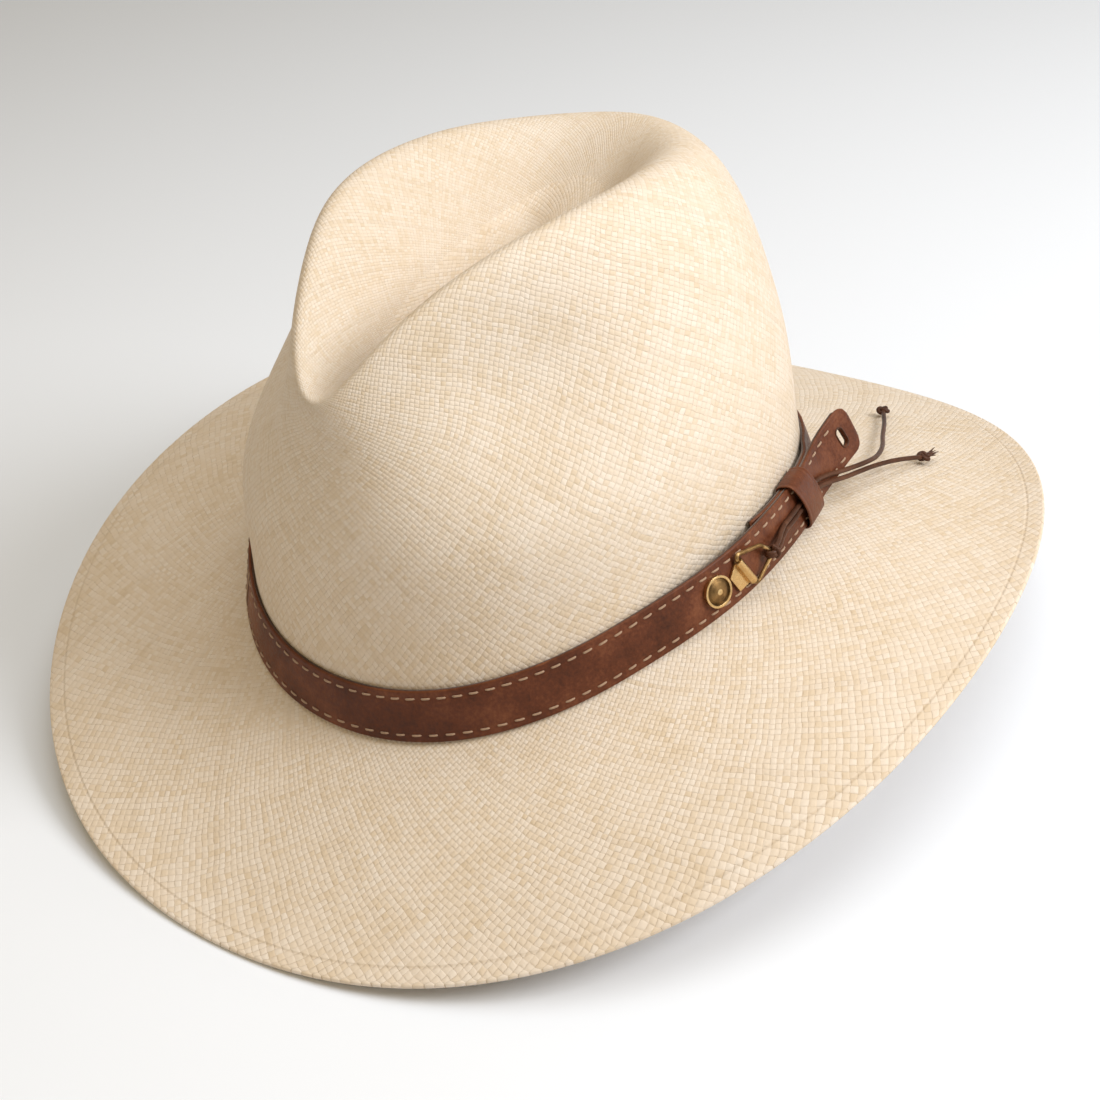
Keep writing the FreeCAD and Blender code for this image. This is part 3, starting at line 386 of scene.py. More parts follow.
def ring_faces(rings, per_ring, closed_rings=True, closed_run=False, start=0):
    """Quads between successive rings of points."""
    faces = []
    for i in range(rings if closed_run else rings - 1):
        near, far = start + i * per_ring, start + (i + 1) % rings * per_ring
        for j in range(per_ring if closed_rings else per_ring - 1):
            k = (j + 1) % per_ring
            faces.append((near + j, near + k, far + k, far + j))
    return faces


def curve_piece(name, points, radius, cyclic=False, body="hat", radii=None):
    """A round cord along a NURBS spline, whose control points are the given ones."""
    data = bpy.data.curves.new(name, "CURVE")
    data.dimensions = "3D"
    data.bevel_depth = 1.0          # each point's radius is then the cord's own, in metres
    data.bevel_resolution = 5
    data.resolution_u = 10
    data.use_fill_caps = True
    spline = data.splines.new("NURBS")
    spline.points.add(len(points) - 1)
    for k, (point, place) in enumerate(zip(spline.points, metres(points))):
        point.co = (*place, 1.0)
        point.radius = radius * MM * (radii[k] if radii else 1.0)
    spline.order_u = 3
    if cyclic:
        spline.use_cyclic_u = True
    else:
        spline.use_endpoint_u = True
    return add_object(name, data, body)


# ---- the lace's cords
LACE_RADIUS = 0.8
STRAND_UPPER = [(88.5, -1.0, 57.25), (87.95, 6.5, 57.05), (87.0, 14.0, 56.7), (85.8, 21.3, 56.15),
                (84.7, 27.5, 55.3), (85.1, 34.5, 53.3), (86.8, 42.0, 50.9), (87.9, 49.5, 48.6),
                (88.6, 57.5, 46.0), (87.6, 66.0, 42.6), (85.2, 75.0, 39.3), (81.8, 84.0, 36.0),
                (78.0, 92.0, 33.4), (74.5, 100.5, 30.7), (71.0, 109.0, 27.9), (67.0, 117.5, 25.3),
                (64.45, 122.5, 23.7)]
STRAND_LOWER = [(88.95, -1.0, 55.4), (88.45, 6.5, 55.2), (87.5, 14.0, 54.85), (86.35, 21.3, 54.3),
                (85.45, 27.5, 53.2), (86.4, 34.5, 51.2), (87.7, 42.0, 48.7), (88.6, 49.5, 46.5),
                (90.1, 58.0, 44.3), (91.9, 67.0, 41.4), (94.2, 76.0, 38.0), (96.0, 82.9, 34.9)]
LEAD_UPPER = [(90.9, -10.5, 56.8), (90.3, -7.6, 57.1), (89.2, -4.3, 57.3), (88.5, -1.0, 57.25)]
LEAD_LOWER = [(91.1, -10.5, 54.9), (90.6, -7.6, 55.1), (89.6, -4.3, 55.3), (88.95, -1.0, 55.4)]
KNOT_UPPER = (63.5, 124.4, 23.2)
KNOT_LOWER = (96.5, 84.8, 34.3)
KNOT_REACH, KNOT_SWELL, KNOT_CORD, KNOT_POINTS = 1.3, 0.62, 0.78, 30
FIBRES, FIBRE_TURN, FIBRE_LONG, FIBRE_RADIUS = 9, 2.4, 6.6, 0.3


def axes_about(heading):
    along = Vector(heading).normalized()
    side = along.cross(Vector((0, 0, 1))).normalized()
    return along, side, side.cross(along)


def knot_piece(name, centre, heading):
    """An overhand knot pulled tight: a trefoil of the lace about its own heading."""
    along, side, lift = axes_about(heading)
    points = []
    for k in range(KNOT_POINTS):
        t = 2 * math.pi * k / KNOT_POINTS
        reach = KNOT_REACH + KNOT_SWELL * math.cos(3 * t)
        points.append(Vector(centre) + along * (reach * math.cos(2 * t) * 1.1)
                      + side * (reach * math.sin(2 * t)) + lift * (KNOT_SWELL * math.sin(3 * t)))
    return curve_piece(name, points, KNOT_CORD, cyclic=True)


def frayed_tip(name, start, heading):
    """The lace's end beyond the knot, split into a few fibres."""
    along, side, lift = axes_about(heading)
    parts = []
    for k in range(FIBRES):
        turn = FIBRE_TURN * k
        spread = 0.25 + 0.075 * k
        aside = side * math.cos(turn) + lift * math.sin(turn)
        length = FIBRE_LONG - 0.25 * ((k * 5) % FIBRES)
        points = [Vector(start) + along * (length * t) + aside * (0.35 + spread * t * t * 1.6)
                  for t in (0.0, 0.35, 0.7, 1.0)]
        parts.append(curve_piece("%s_%d" % (name, k), points, FIBRE_RADIUS,
                                 radii=[1, 1, 0.8, 0.35]))
    return parts


strand_upper = curve_piece("lace_upper", STRAND_UPPER, LACE_RADIUS)
strand_lower = curve_piece("lace_lower", STRAND_LOWER, LACE_RADIUS)
upper_heading = np.subtract(KNOT_UPPER, STRAND_UPPER[-1])
lower_heading = np.subtract(KNOT_LOWER, STRAND_LOWER[-1]) * (1, 1, 0.5)
knot_upper = knot_piece("lace_end_knot_upper", KNOT_UPPER, upper_heading)
knot_lower = knot_piece("lace_end_knot_lower", KNOT_LOWER, lower_heading)
frayed = frayed_tip("lace_frayed", KNOT_LOWER, lower_heading)
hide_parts("lace_strand_upper")
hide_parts("lace_strand_lower")
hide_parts("lace_knot_upper")
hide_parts("lace_knot_lower")


# ---- node materials
class Shader:
    """A short way to write node trees."""

    def __init__(self, name):
        self.material = bpy.data.materials.new(name)
        self.material.use_nodes = True
        self.tree = self.material.node_tree
        self.tree.nodes.clear()
        self.output = self.node("ShaderNodeOutputMaterial")
        self.surface = self.node("ShaderNodeBsdfPrincipled")
        self.link(self.surface.outputs[0], self.output.inputs["Surface"])

    def node(self, kind, **settings):
        made = self.tree.nodes.new(kind)
        for key, value in settings.items():
            setattr(made, key, value)
        return made

    def link(self, source, target):
        self.tree.links.new(source, target)

    def feed(self, socket, value):
        if isinstance(value, bpy.types.NodeSocket):
            self.link(value, socket)
        elif value is not None:
            socket.default_value = value

    def math(self, operation, a, b=None, c=None, clamp=False):
        made = self.node("ShaderNodeMath", operation=operation, use_clamp=clamp)
        for socket, value in zip(made.inputs, (a, b, c)):
            self.feed(socket, value)
        return made.outputs[0]

    def plus(self, a, b, **settings):
        return self.math("ADD", a, b, **settings)

    def minus(self, a, b):
        return self.math("SUBTRACT", a, b)

    def times(self, a, b):
        return self.math("MULTIPLY", a, b)

    def mix(self, factor, a, b):
        made = self.node("ShaderNodeMix", data_type="RGBA")
        self.feed(made.inputs[0], factor)
        self.feed(made.inputs[6], a)
        self.feed(made.inputs[7], b)
        return made.outputs[2]

    def blend(self, factor, a, b):
        made = self.node("ShaderNodeMix", data_type="FLOAT")
        self.feed(made.inputs[0], factor)
        self.feed(made.inputs[2], a)
        self.feed(made.inputs[3], b)
        return made.outputs[0]

    def step(self, value, low, high, to_low=0.0, to_high=1.0):
        made = self.node("ShaderNodeMapRange", interpolation_type="SMOOTHSTEP")
        for socket, part in zip(made.inputs[:5], (value, low, high, to_low, to_high)):
            self.feed(socket, part)
        return made.outputs[0]

    def place(self):
        return self.node("ShaderNodeTexCoord").outputs["Object"]

    def uv(self):
        split = self.node("ShaderNodeSeparateXYZ")
        self.link(self.node("ShaderNodeUVMap", uv_map="UVMap").outputs[0], split.inputs[0])
        return split.outputs[0], split.outputs[1]

    def noise(self, vector, scale, detail=2.0, roughness=0.5):
        made = self.node("ShaderNodeTexNoise")
        self.feed(made.inputs["Vector"], vector)
        for key, value in (("Scale", scale), ("Detail", detail), ("Roughness", roughness)):
            made.inputs[key].default_value = value
        return made.outputs[0]

    def cells(self, vector, scale):
        made = self.node("ShaderNodeTexVoronoi")
        self.feed(made.inputs["Vector"], vector)
        made.inputs["Scale"].default_value = scale
        return made.outputs[0]

    def random(self, x, y):
        joined = self.node("ShaderNodeCombineXYZ")
        self.feed(joined.inputs[0], x)
        self.feed(joined.inputs[1], y)
        made = self.node("ShaderNodeTexWhiteNoise", noise_dimensions="2D")
        self.link(joined.outputs[0], made.inputs["Vector"])
        return made.outputs[0]

    def ramp(self, value, stops):
        made = self.node("ShaderNodeValToRGB")
        self.feed(made.inputs[0], value)
        ramp = made.color_ramp
        while len(ramp.elements) < len(stops):
            ramp.elements.new(0.5)
        for element, (position, colour) in zip(ramp.elements, stops):
            element.position = position
            element.color = (*colour, 1.0)
        return made.outputs[0]

    def bump(self, height, distance, strength=1.0, normal=None):
        made = self.node("ShaderNodeBump")
        self.feed(made.inputs["Height"], height)
        made.inputs["Strength"].default_value = strength
        made.inputs["Distance"].default_value = distance
        self.feed(made.inputs["Normal"], normal)
        return made.outputs[0]

    def rounded_edges(self, radius):
        made = self.node("ShaderNodeBevel", samples=4)
        made.inputs["Radius"].default_value = radius
        return made.outputs[0]

    def finish(self, **inputs):
        for key, value in inputs.items():
            self.feed(self.surface.inputs[key.replace("_", " ")], value)
        return self.material


# strands of each family that cross a line round the brim, the crown and the dent
BRIM_COUNT, CROWN_COUNT, DENT_COUNT = 336.0, 240.0, 120.0
CROWN_CHANGE, DENT_CHANGE = 0.105, 0.43      # second uv coordinate where the count changes


def straw_material():
    """Plaited straw: two families of flat strands at 45 degrees to the brim's edge."""
    s = Shader("straw")
    u, v = s.uv()
    place = s.place()
    count = s.blend(s.math("GREATER_THAN", v, CROWN_CHANGE), BRIM_COUNT, CROWN_COUNT)
    count = s.blend(s.math("GREATER_THAN", v, DENT_CHANGE), count, DENT_COUNT)
    sway = s.times(s.minus(s.noise(place, 90.0), 0.5), 1.1)
    shake = s.times(s.minus(s.noise(place, 420.0), 0.5), 0.28)
    p = s.plus(s.times(count, s.plus(u, v)), s.plus(sway, shake))
    q = s.plus(s.times(count, s.minus(u, v)), s.minus(sway, shake))
    p_part, q_part = s.math("FRACT", p), s.math("FRACT", q)
    p_cell, q_cell = s.math("FLOOR", p), s.math("FLOOR", q)

    def ribbon(part):
        away = s.math("ABSOLUTE", s.minus(s.times(part, 2.0), 1.0))
        return s.minus(1.0, s.math("POWER", away, 3.5))

    def arch(part):
        return s.math("MULTIPLY_ADD", s.math("SINE", s.times(part, math.pi)), 0.5, 0.5)

    over = s.math("PINGPONG", s.plus(p_cell, q_cell), 1.0)
    p_height = s.times(ribbon(p_part), arch(q_part))
    q_height = s.times(ribbon(q_part), arch(p_part))
    # the plait is too fine to show where its rows run together in the dent
    shown = s.step(v, 0.50, 0.66, 1.0, 0.0)
    height = s.blend(shown, 0.8, s.blend(over, p_height, q_height))
    p_tone = s.random(p_cell, s.math("FLOOR", s.math("DIVIDE", q, 7.0)))
    q_tone = s.random(q_cell, s.math("FLOOR", s.math("DIVIDE", p, 9.0)))
    tone = s.blend(shown, 0.5, s.blend(over, p_tone, q_tone))
    spot = s.blend(shown, 0.5, s.random(p_cell, q_cell))
    mottle = s.noise(place, 34.0, 4.0, 0.6)
    tone = s.plus(s.times(tone, 0.36), s.times(spot, 0.24))
    tone = s.plus(tone, s.times(mottle, 0.50))
    colour = s.ramp(tone, [(0.05, (0.65, 0.51, 0.34)), (0.35, (0.76, 0.63, 0.475)),
                           (0.62, (0.81, 0.70, 0.575)), (0.95, (0.85, 0.76, 0.655))])
    # painted shade in the low gaps between strands, deepest at random spots that stand for small holes in
    # the plait
    gap_shade = s.times(s.step(height, 0.0, 0.34, 1.0, 0.0), s.step(spot, 0.3, 0.95, 0.10, 0.75))
    colour = s.mix(gap_shade, colour, (0.33, 0.215, 0.10, 1))
    row = s.math("ABSOLUTE", s.minus(s.math("FRACT", s.math("DIVIDE", p, 15.0)), 0.5))
    colour = s.mix(s.step(row, 0.0, 0.05, 0.11, 0.0), colour, (0.45, 0.31, 0.16, 1))
    edge = s.node("ShaderNodeAttribute", attribute_name="from_edge").outputs["Fac"]
    hem = s.step(s.math("ABSOLUTE", s.minus(edge, 5.6)), 0.0, 0.7, 1.0, 0.0)
    colour = s.mix(s.times(hem, 0.16), colour, (0.45, 0.31, 0.16, 1))
    fibre = s.noise(place, 1500.0, 2.0)
    relief = s.minus(s.math("MULTIPLY_ADD", fibre, 0.12, height), s.times(hem, 0.8))
    s.finish(Base_Color=colour, Roughness=s.blend(height, 0.78, 0.5), Specular_IOR_Level=0.32,
             Normal=s.bump(relief, 0.00024, 0.7))
    through = s.node("ShaderNodeBsdfTranslucent")
    s.feed(through.inputs["Color"], s.mix(0.6, colour, (0.86, 0.55, 0.22, 1)))
    both = s.node("ShaderNodeMixShader")
    both.inputs[0].default_value = 0.10
    s.link(s.surface.outputs[0], both.inputs[1])
    s.link(through.outputs[0], both.inputs[2])
    s.link(both.outputs[0], s.output.inputs["Surface"])
    return s.material


def leather_material(name, dark, base, worn, grain=900.0, edge=0.00035, roughness=0.42, wear=0.5):
    s = Shader(name)
    place = s.place()
    blotch = s.noise(place, 60.0, 5.0, 0.6)
    fine = s.noise(place, grain, 3.0, 0.6)
    pores = s.cells(place, grain * 1.4)
    colour = s.ramp(s.math("MULTIPLY_ADD", fine, 0.35, s.times(blotch, 0.7)),
                    [(0.28, dark), (0.52, base), (0.80, worn)])
    shape = s.node("ShaderNodeNewGeometry").outputs["Pointiness"]
    rub = s.times(s.step(shape, 0.51, 0.60), wear)
    colour = s.mix(rub, colour, (*worn, 1))
    relief = s.plus(s.times(pores, 0.6), s.times(fine, 0.5))
    s.finish(Base_Color=colour, Roughness=s.step(fine, 0.3, 0.7, roughness - 0.07, roughness + 0.12),
             Specular_IOR_Level=0.22, Normal=s.bump(relief, 0.00012, 0.5, s.rounded_edges(edge)))
    return s.material


def suede_material(name, dark, base):
    s = Shader(name)
    place = s.place()
    nap = s.noise(place, 2200.0, 4.0, 0.7)
    colour = s.ramp(s.noise(place, 120.0, 4.0), [(0.3, dark), (0.7, base)])
    s.finish(Base_Color=s.mix(s.times(nap, 0.3), colour, (*base, 1)), Roughness=0.92,
             Sheen_Weight=0.35, Specular_IOR_Level=0.15, Normal=s.bump(nap, 0.00025, 0.6))
    return s.material


def thread_material(name, dark, base):
    """Waxed thread; its twist follows the uv along each stitch."""
    s = Shader(name)
    along, around = s.uv()
    turn = s.plus(s.times(along, 6.0), s.times(around, 2.0))
    twist = s.math("MULTIPLY_ADD", s.math("SINE", s.times(turn, 2 * math.pi)), 0.5, 0.5)
    fuzz = s.noise(s.place(), 2600.0, 3.0)
    # random fuzz tone mixed with painted shade: darker in the grooves of the twist, lighter on its crests
    fuzz_and_twist_shade = s.math("MULTIPLY_ADD", fuzz, 0.5, s.times(twist, 0.5))
    colour = s.mix(fuzz_and_twist_shade, (*dark, 1), (*base, 1))
    s.finish(Base_Color=colour, Roughness=0.72, Sheen_Weight=0.2,
             Normal=s.bump(s.math("MULTIPLY_ADD", fuzz, 0.4, twist), 0.0001, 0.7))
    return s.material


def brass_material():
    """Antique brass: dark in the hollows, bright where it is rubbed."""
    s = Shader("antique_brass")
    place = s.place()
    stain = s.noise(place, 240.0, 5.0, 0.65)
    rub = s.step(s.node("ShaderNodeNewGeometry").outputs["Pointiness"], 0.49, 0.56)
    mask = s.plus(s.times(stain, 0.75), s.times(rub, 0.45), clamp=True)
    colour = s.ramp(mask, [(0.25, (0.055, 0.032, 0.014)), (0.50, (0.26, 0.155, 0.062)),
                           (0.85, (0.66, 0.46, 0.22))])
    hammer = s.cells(place, 700.0)
    relief = s.math("MULTIPLY_ADD", stain, 0.5, hammer)
    s.finish(Base_Color=colour, Metallic=1.0, Roughness=s.step(mask, 0.2, 0.9, 0.55, 0.27),
             Normal=s.bump(relief, 0.00008, 0.35, s.rounded_edges(0.00025)))
    return s.material


STRAW = straw_material()
BAND_LEATHER = leather_material("band_leather", (0.034, 0.010, 0.004), (0.112, 0.032, 0.013),
                                (0.25, 0.090, 0.040))
KEEPER_LEATHER = leather_material("keeper_leather", (0.038, 0.011, 0.005), (0.125, 0.037, 0.016),
                                  (0.28, 0.11, 0.052), wear=0.8)
LACE_LEATHER = leather_material("lace_leather", (0.016, 0.007, 0.004), (0.055, 0.020, 0.010),
                                (0.15, 0.060, 0.030), grain=1500.0, edge=0.0001)
SWEAT_LEATHER = leather_material("sweat_leather", (0.10, 0.052, 0.026), (0.22, 0.125, 0.066),
                                 (0.36, 0.22, 0.13), grain=700.0)
SUEDE = suede_material("suede", (0.045, 0.022, 0.012), (0.11, 0.060, 0.036))
THREAD = thread_material("thread", (0.25, 0.14, 0.08), (0.52, 0.36, 0.24))
BRASS = brass_material()


def wear(piece, material):
    piece.data.materials.clear()
    piece.data.materials.append(material)


def dress_node(name, material):
    """A CAD node that stays gets its material in each of its slots."""
    node = NODES[name]
    for slot in node.material_slots:
        slot.link = "OBJECT"
        slot.material = material
    if not node.material_slots:
        node.data.materials.append(material)


for piece in [strand_upper, strand_lower, knot_upper, knot_lower] + frayed:
    wear(piece, LACE_LEATHER)


# ---- straw
ROUND_STEPS, ACROSS_STEPS = 720, 200
EDGE_STEPS, EDGE_BULGE = 5, 0.35      # the bulge is a share of the straw's thickness


def even_places(steps):
    """Across places about equally far apart over the surface."""
    fine = np.linspace(0, ACROSS_END, 900)
    grid = straw_grid(np.arange(0, LOOP_POLES, 2.0), fine)
    travel = np.linalg.norm(np.diff(grid, axis=1), axis=2).mean(0)
    total = np.concatenate([[0], np.cumsum(travel)])
    return np.interp(np.linspace(0, total[-1], steps), total, fine)


def weave_heights(grid):
    """Second uv coordinate, which keeps the plait's cells square at every size of loop."""
    around = np.linalg.norm(np.roll(grid, -1, 0) - grid, axis=2).sum(0)
    over = np.linalg.norm(np.diff(grid, axis=1), axis=2).mean(0)
    middle = (around[1:] + around[:-1]) / 2
    return np.concatenate([[0], np.cumsum(over / np.maximum(middle, 8.0))])


def straw_sheet():
    turns = np.arange(ROUND_STEPS) * LOOP_POLES / ROUND_STEPS
    places = even_places(ACROSS_STEPS)
    outer = straw_grid(turns, places)
    normals = grid_normals(outer)
    inner = outer - normals * STRAW_THICK
    from_edge = np.concatenate([[0], np.cumsum(np.linalg.norm(np.diff(outer, axis=1), axis=2).mean(0))])
    heights = weave_heights(outer)
    outwards = outer[:, 0] - outer[:, 1]
    outwards /= np.linalg.norm(outwards, axis=1, keepdims=True)
    edge_rings = []
    for k in range(1, EDGE_STEPS):
        a = math.pi * k / EDGE_STEPS
        middle = outer[:, 0] - normals[:, 0] * STRAW_THICK / 2 - outwards * STRAW_THICK * EDGE_BULGE
        edge_rings.append(middle + normals[:, 0] * (STRAW_THICK / 2 * math.cos(a))
                          + outwards * (STRAW_THICK * EDGE_BULGE * math.sin(a)))
    pull_in = (outwards * STRAW_THICK * EDGE_BULGE)[:, None, :]
    outer[:, :1] -= pull_in
    inner[:, :1] -= pull_in
    # the hidden side has half the rings and is listed first, from the dent's tip to the edge
    hidden = np.arange(0, ACROSS_STEPS, 2)[::-1]
    columns = ([inner[:, k] for k in hidden] + edge_rings[::-1]
               + [outer[:, k] for k in range(ACROSS_STEPS)])
    v_values, edge_values = (np.concatenate([values[hidden], np.full(EDGE_STEPS - 1, values[0]), values])
                             for values in (heights, from_edge))
    across = len(columns)
    points = np.stack(columns, axis=1).reshape(-1, 3)
    i, j = np.meshgrid(np.arange(ROUND_STEPS), np.arange(across - 1), indexing="ij")
    following = (i + 1) % ROUND_STEPS
    quads = np.stack([i * across + j, following * across + j, following * across + j + 1,
                      i * across + j + 1], axis=-1).reshape(-1, 4)
    data = bpy.data.meshes.new("straw")
    first_cap = [int(k) * across for k in range(ROUND_STEPS)]
    last_cap = [int(k) * across + across - 1 for k in range(ROUND_STEPS)][::-1]
    data.from_pydata((points * MM).tolist(), [], quads.tolist() + [first_cap, last_cap])
    layer = data.uv_layers.new(name="UVMap")
    u = np.stack([i, i + 1, i + 1, i], axis=-1) / ROUND_STEPS
    v = np.stack([v_values[j], v_values[j], v_values[j + 1], v_values[j + 1]], axis=-1)
    uv = np.stack([u.ravel(), v.ravel()], axis=-1)
    caps = np.tile([0.0, v_values[-1]], (2 * ROUND_STEPS, 1))
    layer.data.foreach_set("uv", np.concatenate([uv, caps]).astype(np.float32).ravel())
    attribute = data.attributes.new("from_edge", "FLOAT", "POINT")
    attribute.data.foreach_set("value", np.tile(edge_values.astype(np.float32), ROUND_STEPS))
    data.polygons.foreach_set("use_smooth", [True] * len(quads) + [False, False])
    data.update()
    return data


straw = add_object("straw", straw_sheet(), "hat")
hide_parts("straw_body")
wear(straw, STRAW)


# ---- leather strap
FACE_STEPS = 34
EDGE_ROUND = 0.42
STITCH_ROW = BAND_WIDTH / 2 - STITCH_INSET
PLY_GROOVE, PLY_SWELL, PLY_WAVE = 0.10, 0.12, 0.05      # of the strap's face, in mm
TAPER_FROM = 0.86                                       # share of the tail's length
SLOT_END_STEPS = 10


def ply_outline(half, low, high, groove, crown):
    """Section of a ply, from its lower edge over the face and back underneath."""
    points = []
    for k in range(FACE_STEPS + 1):
        w = -half + 2 * half * k / FACE_STEPS
        # crowd the points towards the edges, where the leather rounds off
        w = half * math.copysign(1 - max(1 - abs(w) / half, 0.0) ** 1.6, w)
        inset = min(max(0.0, abs(w) - (half - EDGE_ROUND)), EDGE_ROUND)
        drop = EDGE_ROUND - math.sqrt(max(EDGE_ROUND ** 2 - inset ** 2, 0.0))
        dip = groove * math.exp(-((abs(w) - STITCH_ROW) / 0.55) ** 2)
        swell = crown * (1 - (w / half) ** 2)
        points.append((w, high - drop * 0.9 - dip + swell))
    points += [(half - 0.04, low + 0.1), (half - 0.2, low), (-half + 0.2, low), (-half + 0.04, low + 0.1)]
    return points


def strap_mesh():
    rings = []
    paths = np.arange(START, TAIL_PATH + 0.01, 0.8)
    low, high = BACKING + PLY_GAP, PLY
    for path in paths:
        rings.append((strap_frame(path, 0.0), BAND_WIDTH / 2))
    for part in np.linspace(0.03, 1.0, 40):
        narrow = max(0.0, (part - TAPER_FROM) / (1 - TAPER_FROM))
        drawn_in = 1 - math.sqrt(max(1 - narrow ** 2, 0))
        half = BAND_WIDTH / 2 + (TAIL_TIP_WIDTH / 2 - BAND_WIDTH / 2) * drawn_in
        rings.append((tail_frame(part), half))
    points, uvs = [], []
    travel = 0.0
    last = None
    for (here, _, up, outward), half in rings:
        travel += 0.0 if last is None else float(np.linalg.norm(here - last))
        last = here
        soft = PLY_WAVE * math.sin(travel * 0.9) * math.sin(travel * 0.23)
        outline = ply_outline(half, low, high, PLY_GROOVE, PLY_SWELL + soft)
        for w, n in outline:
            points.append(here + up * w + outward * n)
            uvs.append((travel / 100.0, w / 100.0))
    per_ring = FACE_STEPS + 5
    faces = ring_faces(len(rings), per_ring)
    faces.append(tuple(range(per_ring)))
    faces.append(tuple(range((len(rings) - 1) * per_ring, len(rings) * per_ring))[::-1])
    strap = add_mesh("strap", points, faces, "hat")
    set_uv(strap, uvs)
    return strap


def slot_points(reach=0.0):
    """Outline of the tail's slot in the tail's own up and along."""
    radius = SLOT_WIDE / 2 + reach
    arm = SLOT_LONG / 2 - SLOT_WIDE / 2
    outline = []
    for side, first in ((1, 0.0), (-1, math.pi)):
        for k in range(SLOT_END_STEPS + 1):
            a = first + math.pi * k / SLOT_END_STEPS
            outline.append((side * arm + radius * math.sin(a), radius * math.cos(a)))
    return outline


def slot_solid():
    here, along, up, outward = tail_frame(SLOT_AT)
    outline = slot_points()
    points = [here + up * a + along * b + outward * n for n in (-3.0, 5.0) for a, b in outline]
    count = len(outline)
    faces = ring_faces(2, count) + [tuple(range(count))[::-1], tuple(range(count, 2 * count))]
    data = bpy.data.meshes.new("slot_solid")
    data.from_pydata(metres(points), [], faces)
    data.validate()
    return new_object("slot_solid", data)


def cut_slot(piece):
    """Cut the slot through a strap piece, with the result applied."""
    cutter = slot_solid()
    face_outwards(cutter)
    modifier = piece.modifiers.new("slot", "BOOLEAN")
    modifier.operation = "DIFFERENCE"
    modifier.solver = "EXACT"
    modifier.object = cutter
    graph = bpy.context.evaluated_depsgraph_get()
    result = bpy.data.meshes.new_from_object(piece.evaluated_get(graph))
    piece.modifiers.clear()
    piece.data = result
    bpy.data.objects.remove(cutter)


def face_outwards(piece):
    """Turn all faces of a closed mesh outwards."""
    work = bmesh.new()
    work.from_mesh(piece.data)
    bmesh.ops.recalc_face_normals(work, faces=work.faces)
    work.to_mesh(piece.data)
    work.free()


strap = strap_mesh()
face_outwards(strap)
cut_slot(strap)
wear(strap, BAND_LEATHER)
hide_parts("band_strap")
dress_node("band_backing", SUEDE)


def slot_rim():
    """Burnished lip pressed round the tail's slot."""
    here, along, up, outward = tail_frame(SLOT_AT)
    points = [here + up * a + along * b + outward * (PLY + 0.10) for a, b in slot_points(0.32)]
    rim = curve_piece("tail_slot_rim", points, 0.30, cyclic=True)
    wear(rim, LACE_LEATHER)


slot_rim()


# ---- stitches
def block_frames(node):
    """Centre, long, wide and thin directions and half lengths of each block of a CAD node."""
    data = NODES[node].data
    count = len(data.vertices)
    places = np.empty(count * 3)
    data.vertices.foreach_get("co", places)
    places = places.reshape(-1, 3) / MM
    keys = {}
    ids = [keys.setdefault(tuple(np.round(p, 3)), len(keys)) for p in places]
    parent = list(range(len(keys)))

    def root(k):
        while parent[k] != k:
            parent[k] = parent[parent[k]]
            k = parent[k]
        return k

    for edge in data.edges:
        a, b = root(ids[edge.vertices[0]]), root(ids[edge.vertices[1]])
        if a != b:
            parent[a] = b
    groups = {}
    for key, k in keys.items():
        groups.setdefault(root(k), []).append(key)
    blocks = []
    for members in groups.values():
        members = np.array(members)
        centre = members.mean(0)
        _, _, axes = np.linalg.svd(members - centre)
        halves = [np.abs((members - centre) @ axis).max() for axis in axes]
        blocks.append((centre, axes, halves))
    return blocks


def stitch_mesh(name, node, facing, half_wide, rise, sink):
    """A rounded thread stitch for each block, its ends drawn down into the leather."""
    rings, around = 11, 10
    points, faces, uvs = [], [], []
    for number, (centre, axes, halves) in enumerate(block_frames(node)):
        long_axis, thin = axes[0], axes[2]
        radial = centre * (1, 1, 0) + np.array([0, CROWN_FORWARD, 0])
        if np.dot(thin, radial) * facing < 0:
            thin = -thin
        wide = np.cross(thin, long_axis)
        swing = 0.06 * math.sin(number * 12.9898)
        long_axis = unit(long_axis + wide * swing)
        reach = halves[0] * (1 + 0.05 * math.sin(number * 4.1))
        base = centre - thin * halves[2]
        first = len(points)
        for r in range(rings):
            t = -1 + 2 * r / (rings - 1)
            fall = abs(t) ** 3.2
            radius = half_wide * math.sqrt(max(1 - abs(t) ** 5 * 0.75, 0.02))
            middle = base + long_axis * (t * reach) + thin * (rise - sink * fall)
            for a in range(around):
                angle = 2 * math.pi * a / around
                points.append(middle + wide * (radius * math.cos(angle))
                              + thin * (radius * 0.8 * math.sin(angle)))
                uvs.append((t * halves[0] / half_wide * 0.16, a / around))
        faces += ring_faces(rings, around, start=first)
        faces.append(tuple(range(first, first + around))[::-1])
        faces.append(tuple(range(first + (rings - 1) * around, first + rings * around)))
    piece = add_mesh(name, points, faces, "hat")
    set_uv(piece, uvs)
    wear(piece, THREAD)
    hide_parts(node)
    return piece


stitch_mesh("stitches_upper", "band_thread_upper", 1, 0.34, 0.08, 0.42)
stitch_mesh("stitches_lower", "band_thread_lower", 1, 0.34, 0.08, 0.42)
stitch_mesh("tack_threads", "band_tacks", 1, 0.33, -0.25, 0.5)
stitch_mesh("sweatband_stitches", "sweatband_thread", -1, 0.3, 0.05, 0.35)
dress_node("sweatband", SWEAT_LEATHER)


# ---- keeper
KEEPER_EDGE, KEEPER_HALF, KEEPER_BOW, KEEPER_LENGTH = 5.3, 9.05, 28.0, 13.5
KEEPER_SKEW = math.radians(20.0)
KEEPER_CORNER, KEEPER_STEPS = 1.5, 96


def corner_points(x, y, first):
    """A quarter turn of the keeper's wall about a corner's middle."""
    return [(x + KEEPER_CORNER * math.cos(a), y + KEEPER_CORNER * math.sin(a))
            for a in np.linspace(first, first + math.pi / 2, 8)]


